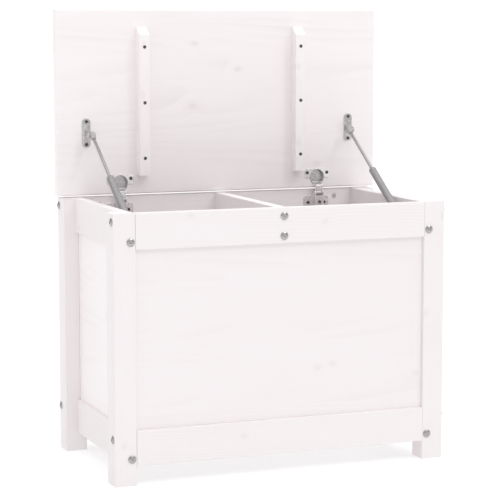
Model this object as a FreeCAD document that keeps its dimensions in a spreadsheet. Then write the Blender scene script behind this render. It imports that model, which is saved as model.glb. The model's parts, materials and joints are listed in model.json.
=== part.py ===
import FreeCAD, Part
import Sketcher
import math
import os

# Storage bench: a framed pine box with a lift-up seat lid.  Millimetres, +Z up, +Y to the back.
# The origin is on the floor under the middle of the box.  The lid is drawn open, standing upright.

os.makedirs("parts", exist_ok=True)
doc = FreeCAD.newDocument("StorageBench")
Vector = FreeCAD.Vector

# ---------------------------------------------------------------- driving dimensions

SIZES = {
    # box frame
    "box_width": 684, "box_depth": 370, "box_height": 514,
    "post_side": 44, "post_round": 2.0, "foot_height": 36.5,
    "rail_height": 68, "rail_thick": 20, "rail_round": 1.2,
    # panels and floor
    "panel_thick": 8, "panel_recess": 6.5, "panel_tongue": 7, "groove_depth": 8, "groove_slack": 0.2,
    "floor_thick": 9, "floor_slack": 1.0, "floor_top": 65.5, "cleat_side": 15, "cleat_end_gap": 20,
    # frame fasteners
    "bolt_radius": 3.0, "bolt_head_radius": 8.0, "bolt_head_rim": 0.9, "bolt_dome": 2.5, "bolt_reach": 44,
    "socket_radius": 2.3, "socket_depth": 2.0, "bolt_hole_slack": 0.3, "nut_setback": 38,
    "nut_radius": 5.0, "nut_end": 5, "nut_slot_depth": 2.0, "hole_slack": 0.1, "thread_slack": 0.05,
    "upper_bolt_drop": 16, "lower_bolt_drop": 54, "dowel_radius": 4.0, "dowel_length": 30,
    "dowel_slack": 0.05, "dowel_chamfer": 1.0, "front_dowel_drop": 43, "side_dowel_drop": 24,
    "drill_over": 0.5,
    # lid and battens
    "lid_side_overhang": 8, "lid_front_overhang": 6, "lid_back_inset": 3, "lid_thick": 20,
    "lid_round": 3.5, "lid_open_inset": 5.4, "open_gap": 3.5, "closed_gap": 1.0,
    "batten_setback": 127.3, "batten_width": 22, "batten_thick": 22.5, "batten_start": 38,
    "batten_front_margin": 35.5, "batten_bevel": 16, "batten_screw_start": 35.3,
    "batten_screw_end": 40,
    # wood screws
    "screw_radius": 1.75, "screw_head_radius": 3.6, "screw_head_height": 1.9, "screw_tip": 3.0,
    "screw_point": 0.2, "batten_screw_length": 36, "plate_screw_length": 14,
    "cross_slot": 0.9, "cross_depth": 1.1, "cross_reach": 2.2,
    # concealed hinges
    "hinge_setback": 80.5, "cup_radius": 17.5, "cup_depth": 11, "cup_wall": 1.2, "cup_edge": 5,
    "bore_floor_gap": 0.5, "flange_thick": 1.2, "flange_round": 4, "flange_back": 2.5,
    "flange_front": 18, "flange_ear": 5.5, "cup_screw_gap": 5, "cup_screw_setback": 9.5,
    "cup_pin_inset": 6, "cup_pin_deep": 3, "cup_notch": 2.5, "pin_sink": 0.1,
    "arm_pin_throw": 24, "pin_radius": 1.5, "pin_run": 0.07, "link_half": 7.6, "link_sheet": 1.5,
    "link_strip": 2.0, "link_bow": 7.5, "ear_gap": 0.4, "ear_sheet": 1.5, "ear_radius": 2.3,
    "arm_sheet": 1.5, "arm_ear": 3.6, "arm_length": 58, "arm_mouth": 6.2, "plate_thick": 3.2,
    "plate_height": 50, "plate_shift": 6.5, "wing_thick": 2.0, "wing_height": 26, "wing_top_drop": 15,
    "wing_screw_half": 18.5, "arm_screw_radius": 2.3, "arm_screw_head": 3.6, "arm_screw_rise": 1.7,
    "arm_screw_first": 20, "arm_screw_pitch": 17, "arm_cross_reach": 4.3, "plate_round": 3.0,
    # gas struts
    "strut_setback": 16.3, "strut_reach": 263.6, "strut_low_drop": 32, "strut_top_along": 122,
    "strut_top_proud": 22, "tube_radius": 7.5, "tube_wall": 1.0, "closing_gap": 0.37, "rod_radius": 3.0,
    "rod_run": 0.05, "low_fitting": 12, "top_fitting": 13, "eye_radius": 4.5, "eye_thick": 8,
    "neck_radius": 4.0, "rod_inside": 10.6, "piston_length": 4, "piston_run": 0.1, "tube_base": 3,
    "tube_lip": 1.0, "guide_length": 5, "low_eye_radius": 6, "stud_radius": 3.0, "stud_shoulder": 4.5,
    "stud_gap": 0.3, "plate_width": 17.5, "plate_length": 58, "bracket_sheet": 2.0,
    "bracket_end_flat": 0.2, "lid_plate_aside": 6.55, "lid_plate_lead": 4,
    "bracket_screw_half": 23, "tab_gap": 3.5, "tab_width": 12, "tab_over": 5, "tab_round": 2.5,
    "tab_root": 6, "stud_cap": 1.5,
}

sheet = doc.addObject("Spreadsheet::Sheet", "Sizes")
for row, (alias, number) in enumerate(SIZES.items(), 1):
    sheet.set(f"A{row}", alias)
    sheet.set(f"B{row}", str(number))
    sheet.setAlias(f"B{row}", alias)
doc.recompute()


def size(alias):
    """The number that the sheet holds for one driving dimension."""
    return float(sheet.get(alias))


# Heights and faces that several pieces share, worked out by the sheet from the driving dimensions.
LAYOUT = {
    "post_inner": "Sizes.box_width / 2 - Sizes.post_side",
    "post_front": "Sizes.box_depth / 2 - Sizes.post_side",
    "rail_inner": "Sizes.box_depth / 2 - Sizes.rail_thick",
    "side_outer": "Sizes.box_width / 2 - Sizes.post_side + Sizes.rail_thick",
    "top_rail_base": "Sizes.box_height - Sizes.rail_height",
    "low_rail_top": "Sizes.foot_height + Sizes.rail_height",
    "panel_base": "Sizes.foot_height + Sizes.rail_height - Sizes.panel_tongue",
    "panel_rise": "Sizes.box_height - Sizes.foot_height - 2 * Sizes.rail_height + 2 * Sizes.panel_tongue",
    "groove_width": "Sizes.panel_thick + 2 * Sizes.groove_slack",
    "groove_base": "Sizes.foot_height + Sizes.rail_height - Sizes.groove_depth",
    "groove_rise": "Sizes.box_height - Sizes.foot_height - 2 * Sizes.rail_height + 2 * Sizes.groove_depth",
    "front_panel_out": "Sizes.box_depth / 2 - Sizes.panel_recess",
    "side_panel_out": "Sizes.box_width / 2 - Sizes.post_side + Sizes.rail_thick - Sizes.panel_recess",
    "front_axis": "Sizes.box_depth / 2 - Sizes.rail_thick / 2",
    "side_axis": "Sizes.box_width / 2 - Sizes.post_side + Sizes.rail_thick / 2",
    "nut_length": "Sizes.rail_thick / 2 + Sizes.nut_end",
    "floor_base": "Sizes.floor_top - Sizes.floor_thick",
    "lid_width": "Sizes.box_width + 2 * Sizes.lid_side_overhang",
    "lid_length": "Sizes.box_depth + Sizes.lid_front_overhang - Sizes.lid_back_inset",
    "lid_base": "Sizes.box_height + Sizes.open_gap",
    "open_underside": "Sizes.box_depth / 2 - Sizes.rail_thick - Sizes.lid_open_inset",
    "closed_back": "Sizes.box_depth / 2 - Sizes.lid_back_inset",
    "batten_offset": "Sizes.box_width / 2 - Sizes.post_side - Sizes.batten_setback",
    "batten_length": "Sizes.box_depth + Sizes.lid_front_overhang - Sizes.lid_back_inset"
                     " - Sizes.batten_start - Sizes.batten_front_margin",
    "hinge_offset": "Sizes.box_width / 2 - Sizes.post_side - Sizes.hinge_setback",
    "cup_centre": "Sizes.cup_edge + Sizes.cup_radius",
    "flange_start": "Sizes.cup_edge + Sizes.cup_radius - Sizes.flange_back",
    "flange_end": "Sizes.cup_edge + Sizes.cup_radius + Sizes.flange_front",
    "cup_screw_half": "Sizes.cup_radius + Sizes.cup_screw_gap",
    "flange_half": "Sizes.cup_radius + Sizes.cup_screw_gap + Sizes.flange_ear",
    "cup_pin_along": "Sizes.cup_edge + Sizes.cup_pin_inset",
    "strut_offset": "Sizes.box_width / 2 - Sizes.post_side - Sizes.strut_setback",
}
layout = doc.addObject("Spreadsheet::Sheet", "Layout")
for row, (alias, formula) in enumerate(LAYOUT.items(), 1):
    layout.set(f"A{row}", alias)
    layout.set(f"B{row}", "=" + formula)
    layout.setAlias(f"B{row}", alias)
doc.recompute()


def level(alias):
    """The number that the layout sheet works out for one shared face or height."""
    return float(layout.get(alias))


# ---------------------------------------------------------------- building helpers

nodes = {}


def keep(label, obj):
    """Registers a finished sub-part under the name of its node."""
    obj.Label = label
    nodes[label] = obj
    return obj


def bind(obj, **formulas):
    """Ties properties of an object to the sheets, each by its own formula."""
    for name, formula in formulas.items():
        obj.setExpression(name, formula)
    return obj


def move(obj, x, y, z):
    """Ties an object's place to the sheets."""
    for axis, formula in zip("xyz", (x, y, z)):
        obj.setExpression("Placement.Base." + axis, formula)
    return obj


def block(name, spans):
    """A box from three (start, length) formulas, along X, Y and Z."""
    (x, length), (y, width), (z, height) = spans
    obj = doc.addObject("Part::Box", name)
    return move(bind(obj, Length=length, Width=width, Height=height), x, y, z)


TURN_TO = {"x": (Vector(0, 1, 0), 90), "y": (Vector(1, 0, 0), -90), "z": (Vector(0, 0, 1), 0)}


def drill(name, radius, height, place, axis):
    """A cylinder that starts at a place and runs along +X, +Y or +Z."""
    obj = doc.addObject("Part::Cylinder", name)
    obj.Placement = FreeCAD.Placement(Vector(), FreeCAD.Rotation(*TURN_TO[axis]))
    return move(bind(obj, Radius=radius, Height=height), *place)


def cut(name, base, tools):
    """A piece with every tool taken out of it."""
    tool = tools[0]
    if len(tools) > 1:
        tool = doc.addObject("Part::MultiFuse", name + "_tools")
        tool.Shapes = tools
    obj = doc.addObject("Part::Cut", name)
    obj.Base = base
    obj.Tool = tool
    return obj


def round_long_edges(name, base, direction, radius):
    """Rounds the straight edges of a bar that run along one direction."""
    doc.recompute()
    picked = []
    for number, edge in enumerate(base.Shape.Edges, 1):
        run = (edge.Vertexes[1].Point - edge.Vertexes[0].Point).normalize()
        if abs(run.dot(direction)) > 0.999:
            picked.append((number, radius, radius))
    obj = doc.addObject("Part::Fillet", name)
    obj.Base = base
    obj.Edges = picked
    return obj


def solid_node(label, shape):
    """A sub-part whose shape is worked out in code, from sizes that the sheets hold."""
    obj = doc.addObject("Part::Feature", label)
    obj.Shape = shape
    obj.Placement = shape.Placement
    return keep(label, obj)


def group_node(label, shapes):
    """One node for identical small pieces, each a solid of its own."""
    return solid_node(label, Part.makeCompound(shapes))


def placed(shape, place, turn=None):
    """A copy of a shape, turned about the origin and then moved."""
    copy = shape.copy()
    copy.Placement = FreeCAD.Placement(place, turn or FreeCAD.Rotation())
    return copy


def facing(direction):
    """The turn that points a fastener drawn along +Z, head uppermost, in a direction."""
    return FreeCAD.Rotation(Vector(0, 0, 1), direction)


def side_name(sign, low, high):
    return high if sign > 0 else low


SIDES = (-1, 1)

# ---------------------------------------------------------------- where the frame fasteners sit

# Each rail end holds one bolt with its cross nut and one dowel.  Front and back rails take their bolts
# through the posts along X, side rails along Y, at other heights, so that they miss each other.
RAIL_TOPS = {"top": "Sizes.box_height", "bottom": "Layout.low_rail_top"}
FRONT_BOLT, SIDE_BOLT = "Sizes.upper_bolt_drop", "Sizes.lower_bolt_drop"
FRONT_DOWEL, SIDE_DOWEL = "Sizes.front_dowel_drop", "Sizes.side_dowel_drop"
HOLE = "Sizes.bolt_radius + Sizes.bolt_hole_slack"
BOLT_RUN = "Sizes.post_side + Sizes.bolt_reach + 2 * Sizes.drill_over"
THROUGH_RAIL = "Sizes.rail_thick + 2 * Sizes.drill_over"
NUT_HOLE = "Sizes.nut_radius + Sizes.hole_slack"
DOWEL_HOLE = "Sizes.dowel_radius + Sizes.dowel_slack"
DOWEL_RUN = "Sizes.dowel_length + 1"


def signed(sign, formula):
    """A formula with its sign, or its mirror image."""
    return formula if sign > 0 else f"-({formula})"


def start(sign, outer, length):
    """Where a span begins that ends at an outer face on the + side, or starts there on the - side."""
    return f"{outer} - ({length})" if sign > 0 else f"-({outer})"


def fastener_drills(name, sign_x, sign_y, top, bolt_drop, dowel_drop, axis):
    """The bolt hole and the dowel hole of one joint between a post and a rail end."""
    bolt_level, dowel_level = f"{top} - {bolt_drop}", f"{top} - {dowel_drop}"
    if axis == "x":
        y = signed(sign_y, "Layout.front_axis")
        bolt = (start(sign_x, "Sizes.box_width / 2 + Sizes.drill_over", BOLT_RUN), y, bolt_level)
        middle = signed(sign_x, "Layout.post_inner")
        dowel = (f"{middle} - ({DOWEL_RUN}) / 2", y, dowel_level)
    else:
        x = signed(sign_x, "Layout.side_axis")
        bolt = (x, start(sign_y, "Sizes.box_depth / 2 + Sizes.drill_over", BOLT_RUN), bolt_level)
        middle = signed(sign_y, "Layout.post_front")
        dowel = (x, f"{middle} - ({DOWEL_RUN}) / 2", dowel_level)
    return [
        drill(name + "_bolt_hole", HOLE, BOLT_RUN, bolt, axis),
        drill(name + "_dowel_hole", DOWEL_HOLE, DOWEL_RUN, dowel, axis),
    ]


# ---------------------------------------------------------------- corner posts

for sign_x in SIDES:
    for sign_y in SIDES:
        label = f"{side_name(sign_y, 'front', 'back')}_{side_name(sign_x, 'left', 'right')}_post"
        bar = block(label + "_bar", (
            (start(sign_x, "Sizes.box_width / 2", "Sizes.post_side"), "Sizes.post_side"),
            (start(sign_y, "Sizes.box_depth / 2", "Sizes.post_side"), "Sizes.post_side"),
            ("0", "Sizes.box_height"),
        ))
        rounded = round_long_edges(label + "_rounded", bar, Vector(0, 0, 1), size("post_round"))
        grooves = [
            block(label + "_front_groove", (
                (start(sign_x, "Layout.post_inner + Sizes.groove_depth", "Sizes.groove_depth"),
                 "Sizes.groove_depth"),
                (start(sign_y, "Layout.front_panel_out + Sizes.groove_slack", "Layout.groove_width"),
                 "Layout.groove_width"),
                ("Layout.groove_base", "Layout.groove_rise"),
            )),
            block(label + "_side_groove", (
                (start(sign_x, "Layout.side_panel_out + Sizes.groove_slack", "Layout.groove_width"),
                 "Layout.groove_width"),
                (start(sign_y, "Layout.post_front + Sizes.groove_depth", "Sizes.groove_depth"),
                 "Sizes.groove_depth"),
                ("Layout.groove_base", "Layout.groove_rise"),
            )),
        ]
        drills = []
        for level_name, top in RAIL_TOPS.items():
            tag = f"{label}_{level_name}"
            drills += fastener_drills(tag + "_x", sign_x, sign_y, top, FRONT_BOLT, FRONT_DOWEL, "x")
            drills += fastener_drills(tag + "_y", sign_x, sign_y, top, SIDE_BOLT, SIDE_DOWEL, "y")
        keep(label, cut(label, rounded, grooves + drills))

# ---------------------------------------------------------------- frame rails


def rail_groove(name, level_name, x_span, y_span):
    """The panel groove, in the lower edge of a top rail or the upper edge of a bottom rail."""
    base = "Layout.top_rail_base" if level_name == "top" else "Layout.groove_base"
    return block(name, (x_span, y_span, (base, "Sizes.groove_depth")))


for sign_y in SIDES:
    for level_name, top in RAIL_TOPS.items():
        label = f"{side_name(sign_y, 'front', 'back')}_{level_name}_rail"
        bar = block(label + "_bar", (
            ("-Layout.post_inner", "2 * Layout.post_inner"),
            (start(sign_y, "Sizes.box_depth / 2", "Sizes.rail_thick"), "Sizes.rail_thick"),
            (f"{top} - Sizes.rail_height", "Sizes.rail_height"),
        ))
        rounded = round_long_edges(label + "_rounded", bar, Vector(1, 0, 0), size("rail_round"))
        cuts = [rail_groove(
            label + "_groove", level_name, ("-Layout.post_inner", "2 * Layout.post_inner"),
            (start(sign_y, "Layout.front_panel_out + Sizes.groove_slack", "Layout.groove_width"),
             "Layout.groove_width"),
        )]
        nut_slot = start(sign_y, "Layout.rail_inner + Layout.nut_length + 1", "Layout.nut_length + 1")
        for sign_x in SIDES:
            tag = f"{label}_{side_name(sign_x, 'left', 'right')}"
            cuts += fastener_drills(tag, sign_x, sign_y, top, FRONT_BOLT, FRONT_DOWEL, "x")
            nut_at = (signed(sign_x, "Layout.post_inner - Sizes.nut_setback"), nut_slot,
                      f"{top} - {FRONT_BOLT}")
            cuts.append(drill(tag + "_nut_hole", NUT_HOLE, "Layout.nut_length + 1", nut_at, "y"))
        if level_name == "top":
            for drop_name, drop in (("upper", FRONT_BOLT), ("lower", SIDE_BOLT)):
                through = (
                    "0", start(sign_y, "Sizes.box_depth / 2 + Sizes.drill_over", THROUGH_RAIL),
                    f"{top} - {drop}",
                )
                cuts.append(drill(f"{label}_{drop_name}_cross_hole", HOLE, THROUGH_RAIL, through, "y"))
        keep(label, cut(label, rounded, cuts))

for sign_x in SIDES:
    for level_name, top in RAIL_TOPS.items():
        label = f"{side_name(sign_x, 'left', 'right')}_{level_name}_rail"
        bar = block(label + "_bar", (
            (start(sign_x, "Layout.side_outer", "Sizes.rail_thick"), "Sizes.rail_thick"),
            ("-Layout.post_front", "2 * Layout.post_front"),
            (f"{top} - Sizes.rail_height", "Sizes.rail_height"),
        ))
        rounded = round_long_edges(label + "_rounded", bar, Vector(0, 1, 0), size("rail_round"))
        cuts = [rail_groove(
            label + "_groove", level_name,
            (start(sign_x, "Layout.side_panel_out + Sizes.groove_slack", "Layout.groove_width"),
             "Layout.groove_width"),
            ("-Layout.post_front", "2 * Layout.post_front"),
        )]
        nut_slot = start(sign_x, "Layout.post_inner + Layout.nut_length + 1", "Layout.nut_length + 1")
        for sign_y in SIDES:
            tag = f"{label}_{side_name(sign_y, 'front', 'back')}"
            cuts += fastener_drills(tag, sign_x, sign_y, top, SIDE_BOLT, SIDE_DOWEL, "y")
            nut_at = (nut_slot, signed(sign_y, "Layout.post_front - Sizes.nut_setback"),
                      f"{top} - {SIDE_BOLT}")
            cuts.append(drill(tag + "_nut_hole", NUT_HOLE, "Layout.nut_length + 1", nut_at, "x"))
        keep(label, cut(label, rounded, cuts))

# The cross rail ties the middle of the front and back top rails together.
bar = block("cross_rail_bar", (
    ("-Sizes.rail_thick / 2", "Sizes.rail_thick"),
    ("-Layout.rail_inner", "2 * Layout.rail_inner"),
    ("Layout.top_rail_base", "Sizes.rail_height"),
))
rounded = round_long_edges("cross_rail_rounded", bar, Vector(0, 1, 0), size("rail_round"))
cuts = []
for sign_y in SIDES:
    for drop_name, drop in (("upper", FRONT_BOLT), ("lower", SIDE_BOLT)):
        tag = f"cross_rail_{side_name(sign_y, 'front', 'back')}_{drop_name}"
        level_at = f"Sizes.box_height - {drop}"
        reach = "Sizes.bolt_reach + 1"
        cuts.append(drill(tag + "_bolt_hole", HOLE, reach,
                          ("0", start(sign_y, "Layout.rail_inner", reach), level_at), "y"))
        cuts.append(drill(tag + "_nut_hole", NUT_HOLE, "Layout.nut_length + 1", (
            "Sizes.rail_thick / 2 - Layout.nut_length - 1",
            signed(sign_y, "Layout.rail_inner - Sizes.nut_setback"), level_at), "x"))
keep("cross_rail", cut("cross_rail", rounded, cuts))

# ---------------------------------------------------------------- panels, floor and cleats

for sign_y in SIDES:
    label = side_name(sign_y, "front", "back") + "_panel"
    keep(label, block(label, (
        ("-Layout.post_inner - Sizes.panel_tongue", "2 * (Layout.post_inner + Sizes.panel_tongue)"),
        (start(sign_y, "Layout.front_panel_out", "Sizes.panel_thick"), "Sizes.panel_thick"),
        ("Layout.panel_base", "Layout.panel_rise"),
    )))
for sign_x in SIDES:
    label = side_name(sign_x, "left", "right") + "_panel"
    keep(label, block(label, (
        (start(sign_x, "Layout.side_panel_out", "Sizes.panel_thick"), "Sizes.panel_thick"),
        ("-Layout.post_front - Sizes.panel_tongue", "2 * (Layout.post_front + Sizes.panel_tongue)"),
        ("Layout.panel_base", "Layout.panel_rise"),
    )))

keep("floor_board", block("floor_board", (
    ("-Layout.post_inner + Sizes.floor_slack", "2 * (Layout.post_inner - Sizes.floor_slack)"),
    ("-Layout.rail_inner + Sizes.floor_slack", "2 * (Layout.rail_inner - Sizes.floor_slack)"),
    ("Layout.floor_base", "Sizes.floor_thick"),
)))

CLEAT = "Sizes.cleat_side"
CLEAT_BASE = "Layout.floor_base - Sizes.cleat_side"
for sign_y in SIDES:
    name = side_name(sign_y, "front", "back")
    cleat = block(name + "_cleat_bar", (
        ("-Layout.post_inner + Sizes.cleat_end_gap", "2 * (Layout.post_inner - Sizes.cleat_end_gap)"),
        (start(sign_y, "Layout.rail_inner", CLEAT), CLEAT), (CLEAT_BASE, CLEAT),
    ))
    keep(name + "_cleat", cleat)
for sign_x in SIDES:
    name = side_name(sign_x, "left", "right")
    cleat = block(name + "_cleat_bar", (
        (start(sign_x, "Layout.post_inner", CLEAT), CLEAT),
        ("-Layout.post_front + Sizes.cleat_end_gap", "2 * (Layout.post_front - Sizes.cleat_end_gap)"),
        (CLEAT_BASE, CLEAT),
    ))
    keep(name + "_cleat", cleat)
doc.recompute()

# ---------------------------------------------------------------- fastener shapes


def bolt_shape(length):
    """A furniture bolt along +Z: shank below z = 0, low domed head above it, hexagon socket in the head."""
    radius, rim, dome = size("bolt_head_radius"), size("bolt_head_rim"), size("bolt_dome")
    ball = (radius ** 2 + dome ** 2) / (2 * dome)
    head = Part.makeCylinder(radius, rim + dome)
    cap = Part.makeSphere(ball, Vector(0, 0, rim + dome - ball))
    shank = Part.makeCylinder(size("bolt_radius"), length, Vector(0, 0, -length))
    corners = [Vector(size("socket_radius"), 0, 0)]
    spin = FreeCAD.Rotation(Vector(0, 0, 1), 60)
    for _ in range(6):
        corners.append(spin.multVec(corners[-1]))
    socket = Part.Face(Part.makePolygon(corners)).extrude(Vector(0, 0, size("socket_depth") + 1))
    socket.translate(Vector(0, 0, rim + dome - size("socket_depth")))
    return head.common(cap).fuse(shank).removeSplitter().cut(socket)


def nut_shape():
    """A cross nut along +Z from z = 0, threaded across its middle along X, with a driver slot on top."""
    radius, length = size("nut_radius"), level("nut_length")
    body = Part.makeCylinder(radius, length)
    thread = Part.makeCylinder(size("bolt_radius") + size("thread_slack"), 2 * radius + 2,
                               Vector(-radius - 1, 0, length - nut_axis_depth()), Vector(1, 0, 0))
    slot = Part.makeBox(2 * radius + 2, 2 * size("cross_slot"), size("nut_slot_depth"),
                        Vector(-radius - 1, -size("cross_slot"), length - size("nut_slot_depth")))
    return body.cut(thread).cut(slot)


def nut_axis_depth():
    """How deep the bolt's axis lies under the face that the nut is flush with."""
    return size("rail_thick") / 2


def screw_shape(length, pan=False):
    """A wood screw along +Z, its top at z = 0 if countersunk or its seat there if pan-headed."""
    shank, head, rise = size("screw_radius"), size("screw_head_radius"), size("screw_head_height")
    tip = size("screw_tip")
    neck = 0 if pan else -rise
    body = Part.makeCylinder(shank, length - tip + neck, Vector(0, 0, tip - length))
    body = body.fuse(Part.makeCone(size("screw_point"), shank, tip, Vector(0, 0, -length)))
    if pan:
        ball = (head ** 2 + rise ** 2) / (2 * rise)
        cap = Part.makeCylinder(head, rise).common(Part.makeSphere(ball, Vector(0, 0, rise - ball)))
        top = rise
    else:
        cap = Part.makeCone(shank, head, rise, Vector(0, 0, -rise))
        top = 0
    arm, wide, deep = size("cross_reach"), size("cross_slot") / 2, size("cross_depth")
    slots = Part.makeBox(2 * arm, 2 * wide, deep, Vector(-arm, -wide, top - deep))
    slots = slots.fuse(Part.makeBox(2 * wide, 2 * arm, deep, Vector(-wide, -arm, top - deep)))
    return body.fuse(cap).removeSplitter().cut(slots)


def pilot(length, place, direction, countersunk=True):
    """The hole that a screw is driven into, with the seat of its head if countersunk."""
    slack = size("hole_slack")
    hole = Part.makeCylinder(size("screw_radius") + slack, length + slack, place, direction)
    if countersunk:
        seat = Part.makeCone(size("screw_head_radius") + slack, size("screw_radius") + slack,
                             size("screw_head_height"), place, direction)
        hole = hole.fuse(seat)
    return hole


def turned(along_x, along_z):
    """The turn that points a fastener's own X and Z along two directions."""
    return FreeCAD.Rotation(along_x, along_z.cross(along_x), along_z, "ZXY")


AXIS_X, AXIS_Y, AXIS_Z = Vector(1, 0, 0), Vector(0, 1, 0), Vector(0, 0, 1)

# ---------------------------------------------------------------- frame bolts, cross nuts and dowels

half_width, half_depth, box_height = size("box_width") / 2, size("box_depth") / 2, size("box_height")
rail_tops = {"top": box_height, "bottom": level("low_rail_top")}
post_bolt = bolt_shape(size("post_side") + size("bolt_reach"))
cross_bolt = bolt_shape(size("rail_thick") + size("bolt_reach"))
cross_nut = nut_shape()
dowel_blank = Part.makeCylinder(size("dowel_radius"), size("dowel_length"),
                                Vector(0, 0, -size("dowel_length") / 2))
dowel = dowel_blank.makeChamfer(size("dowel_chamfer"), [edge for edge in dowel_blank.Edges if edge.Closed])

front_bolts, back_bolts, side_bolts, cross_nuts, dowels = [], [], [], [], []
nut_along_x = level("post_inner") - size("nut_setback")
nut_along_y = level("post_front") - size("nut_setback")
nut_seat_y = level("rail_inner") + level("nut_length")
nut_seat_x = level("post_inner") + level("nut_length")
for sign_x in SIDES:
    for sign_y in SIDES:
        for top in rail_tops.values():
            front_bolt_at, side_bolt_at = top - size("upper_bolt_drop"), top - size("lower_bolt_drop")
            x, y = sign_x * level("side_axis"), sign_y * level("front_axis")
            side_bolts.append(placed(post_bolt, Vector(sign_x * half_width, y, front_bolt_at),
                                     facing(AXIS_X * sign_x)))
            end_bolts = back_bolts if sign_y > 0 else front_bolts
            end_bolts.append(placed(post_bolt, Vector(x, sign_y * half_depth, side_bolt_at),
                                    facing(AXIS_Y * sign_y)))
            cross_nuts.append(placed(
                cross_nut, Vector(sign_x * nut_along_x, sign_y * nut_seat_y, front_bolt_at),
                turned(AXIS_X, AXIS_Y * -sign_y)))
            cross_nuts.append(placed(
                cross_nut, Vector(sign_x * nut_seat_x, sign_y * nut_along_y, side_bolt_at),
                turned(AXIS_Y, AXIS_X * -sign_x)))
            dowels.append(placed(
                dowel, Vector(sign_x * level("post_inner"), y, top - size("front_dowel_drop")),
                facing(AXIS_X)))
            dowels.append(placed(
                dowel, Vector(x, sign_y * level("post_front"), top - size("side_dowel_drop")),
                facing(AXIS_Y)))

cross_bolts = []
for sign_y in SIDES:
    for drop in ("upper_bolt_drop", "lower_bolt_drop"):
        at = box_height - size(drop)
        cross_bolts.append(placed(cross_bolt, Vector(0, sign_y * half_depth, at),
                                  facing(AXIS_Y * sign_y)))
        seat = Vector(size("rail_thick") / 2 - level("nut_length"),
                      sign_y * (level("rail_inner") - size("nut_setback")), at)
        cross_nuts.append(placed(cross_nut, seat, turned(AXIS_Y, AXIS_X)))

group_node("front_frame_bolts", front_bolts)
group_node("back_frame_bolts", back_bolts)
group_node("side_frame_bolts", side_bolts)
group_node("cross_rail_bolts", cross_bolts)
group_node("cross_nuts", cross_nuts)
group_node("dowels", dowels)

# ---------------------------------------------------------------- how the lid moves


def on_lid(x, along, proud):
    """A point on the open lid: along it from its hinge edge, and proud of its underside."""
    return Vector(x, level("open_underside") - proud, level("lid_base") + along)


def on_closed_lid(x, along, proud):
    """Where the same point lies once the lid is closed."""
    return Vector(x, level("closed_back") - along, box_height + size("closed_gap") - proud)


def turn_about_x(first, second):
    """The angle in degrees, about +X, from one direction in the YZ plane to another."""
    return math.degrees(math.atan2(first.y * second.z - first.z * second.y,
                                   first.y * second.y + first.z * second.z))


# The cup pin goes from its open to its closed place on an arc about the arm pin, so the arm pin lies on
# the perpendicular that halves the line between them.
cup_pin = on_lid(0, level("cup_pin_along"), -size("cup_pin_deep"))
cup_pin_closed = on_closed_lid(0, level("cup_pin_along"), -size("cup_pin_deep"))
pin_travel = cup_pin_closed - cup_pin
to_arm_pin = AXIS_X.cross(pin_travel).normalize() * -1
arm_pin = (cup_pin + cup_pin_closed) * 0.5 + to_arm_pin * size("arm_pin_throw")
link_swing = turn_about_x(cup_pin - arm_pin, cup_pin_closed - arm_pin)

strut_x = level("strut_offset")
strut_low = Vector(strut_x, level("open_underside") - size("strut_reach"),
                   box_height - size("strut_low_drop"))
strut_top = on_lid(strut_x, size("strut_top_along"), size("strut_top_proud"))
strut_top_closed = on_closed_lid(strut_x, size("strut_top_along"), size("strut_top_proud"))
strut_open, strut_closed = strut_top - strut_low, strut_top_closed - strut_low
stroke = strut_open.Length - strut_closed.Length
tube_length = strut_closed.Length - size("low_fitting") - size("top_fitting") - size("closing_gap")
print("arm pin", arm_pin, "cup pin", cup_pin, "link swing", round(link_swing, 4), "deg")
print("strut", strut_low, "to", strut_top, "stroke", round(stroke, 4), "mm, swing",
      round(turn_about_x(strut_open, strut_closed), 4), "deg")

# ---------------------------------------------------------------- lid board and battens


def origin_plane(body, role):
    return next(plane for plane in body.Origin.OriginFeatures if plane.Role == role)


def lid_sketch(body, name, depth_formula):
    """A sketch in the board's plane, at a depth in front of its back face."""
    sketch = body.newObject("Sketcher::SketchObject", name)
    sketch.AttachmentSupport = [(origin_plane(body, "XZ_Plane"), "")]
    sketch.MapMode = "FlatFace"
    sketch.setExpression("AttachmentOffset.Base.z", depth_formula)
    return sketch


lid_body = doc.addObject("PartDesign::Body", "lid_blank")
outline = lid_sketch(lid_body, "lid_outline", "0")
corners = [(-half_width, 0), (half_width, 0), (half_width, half_depth), (-half_width, half_depth)]
for number, corner in enumerate(corners):
    following = corners[(number + 1) % 4]
    outline.addGeometry(Part.LineSegment(Vector(*corner, 0), Vector(*following, 0)))
for number in range(4):
    outline.addConstraint(Sketcher.Constraint("Coincident", number, 2, (number + 1) % 4, 1))
for number, kind in ((1, "Vertical"), (2, "Horizontal"), (3, "Vertical")):
    outline.addConstraint(Sketcher.Constraint(kind, number))
outline.addConstraint(Sketcher.Constraint("Symmetric", 0, 1, 0, 2, -2))
outline.addConstraint(Sketcher.Constraint("PointOnObject", 0, 1, -1))
across = outline.addConstraint(Sketcher.Constraint("DistanceX", 0, 1, 0, 2, level("lid_width")))
upward = outline.addConstraint(Sketcher.Constraint("DistanceY", 1, 1, 1, 2, level("lid_length")))
outline.setExpression(f"Constraints[{across}]", "Layout.lid_width")
outline.setExpression(f"Constraints[{upward}]", "Layout.lid_length")
board = lid_body.newObject("PartDesign::Pad", "lid_pad")
board.Profile = outline
board.setExpression("Length", "Sizes.lid_thick")
doc.recompute()

softened = lid_body.newObject("PartDesign::Fillet", "lid_softened")
softened.Base = (board, [f"Edge{number}" for number in range(1, len(board.Shape.Edges) + 1)])
softened.setExpression("Radius", "Sizes.lid_round")
doc.recompute()

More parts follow.
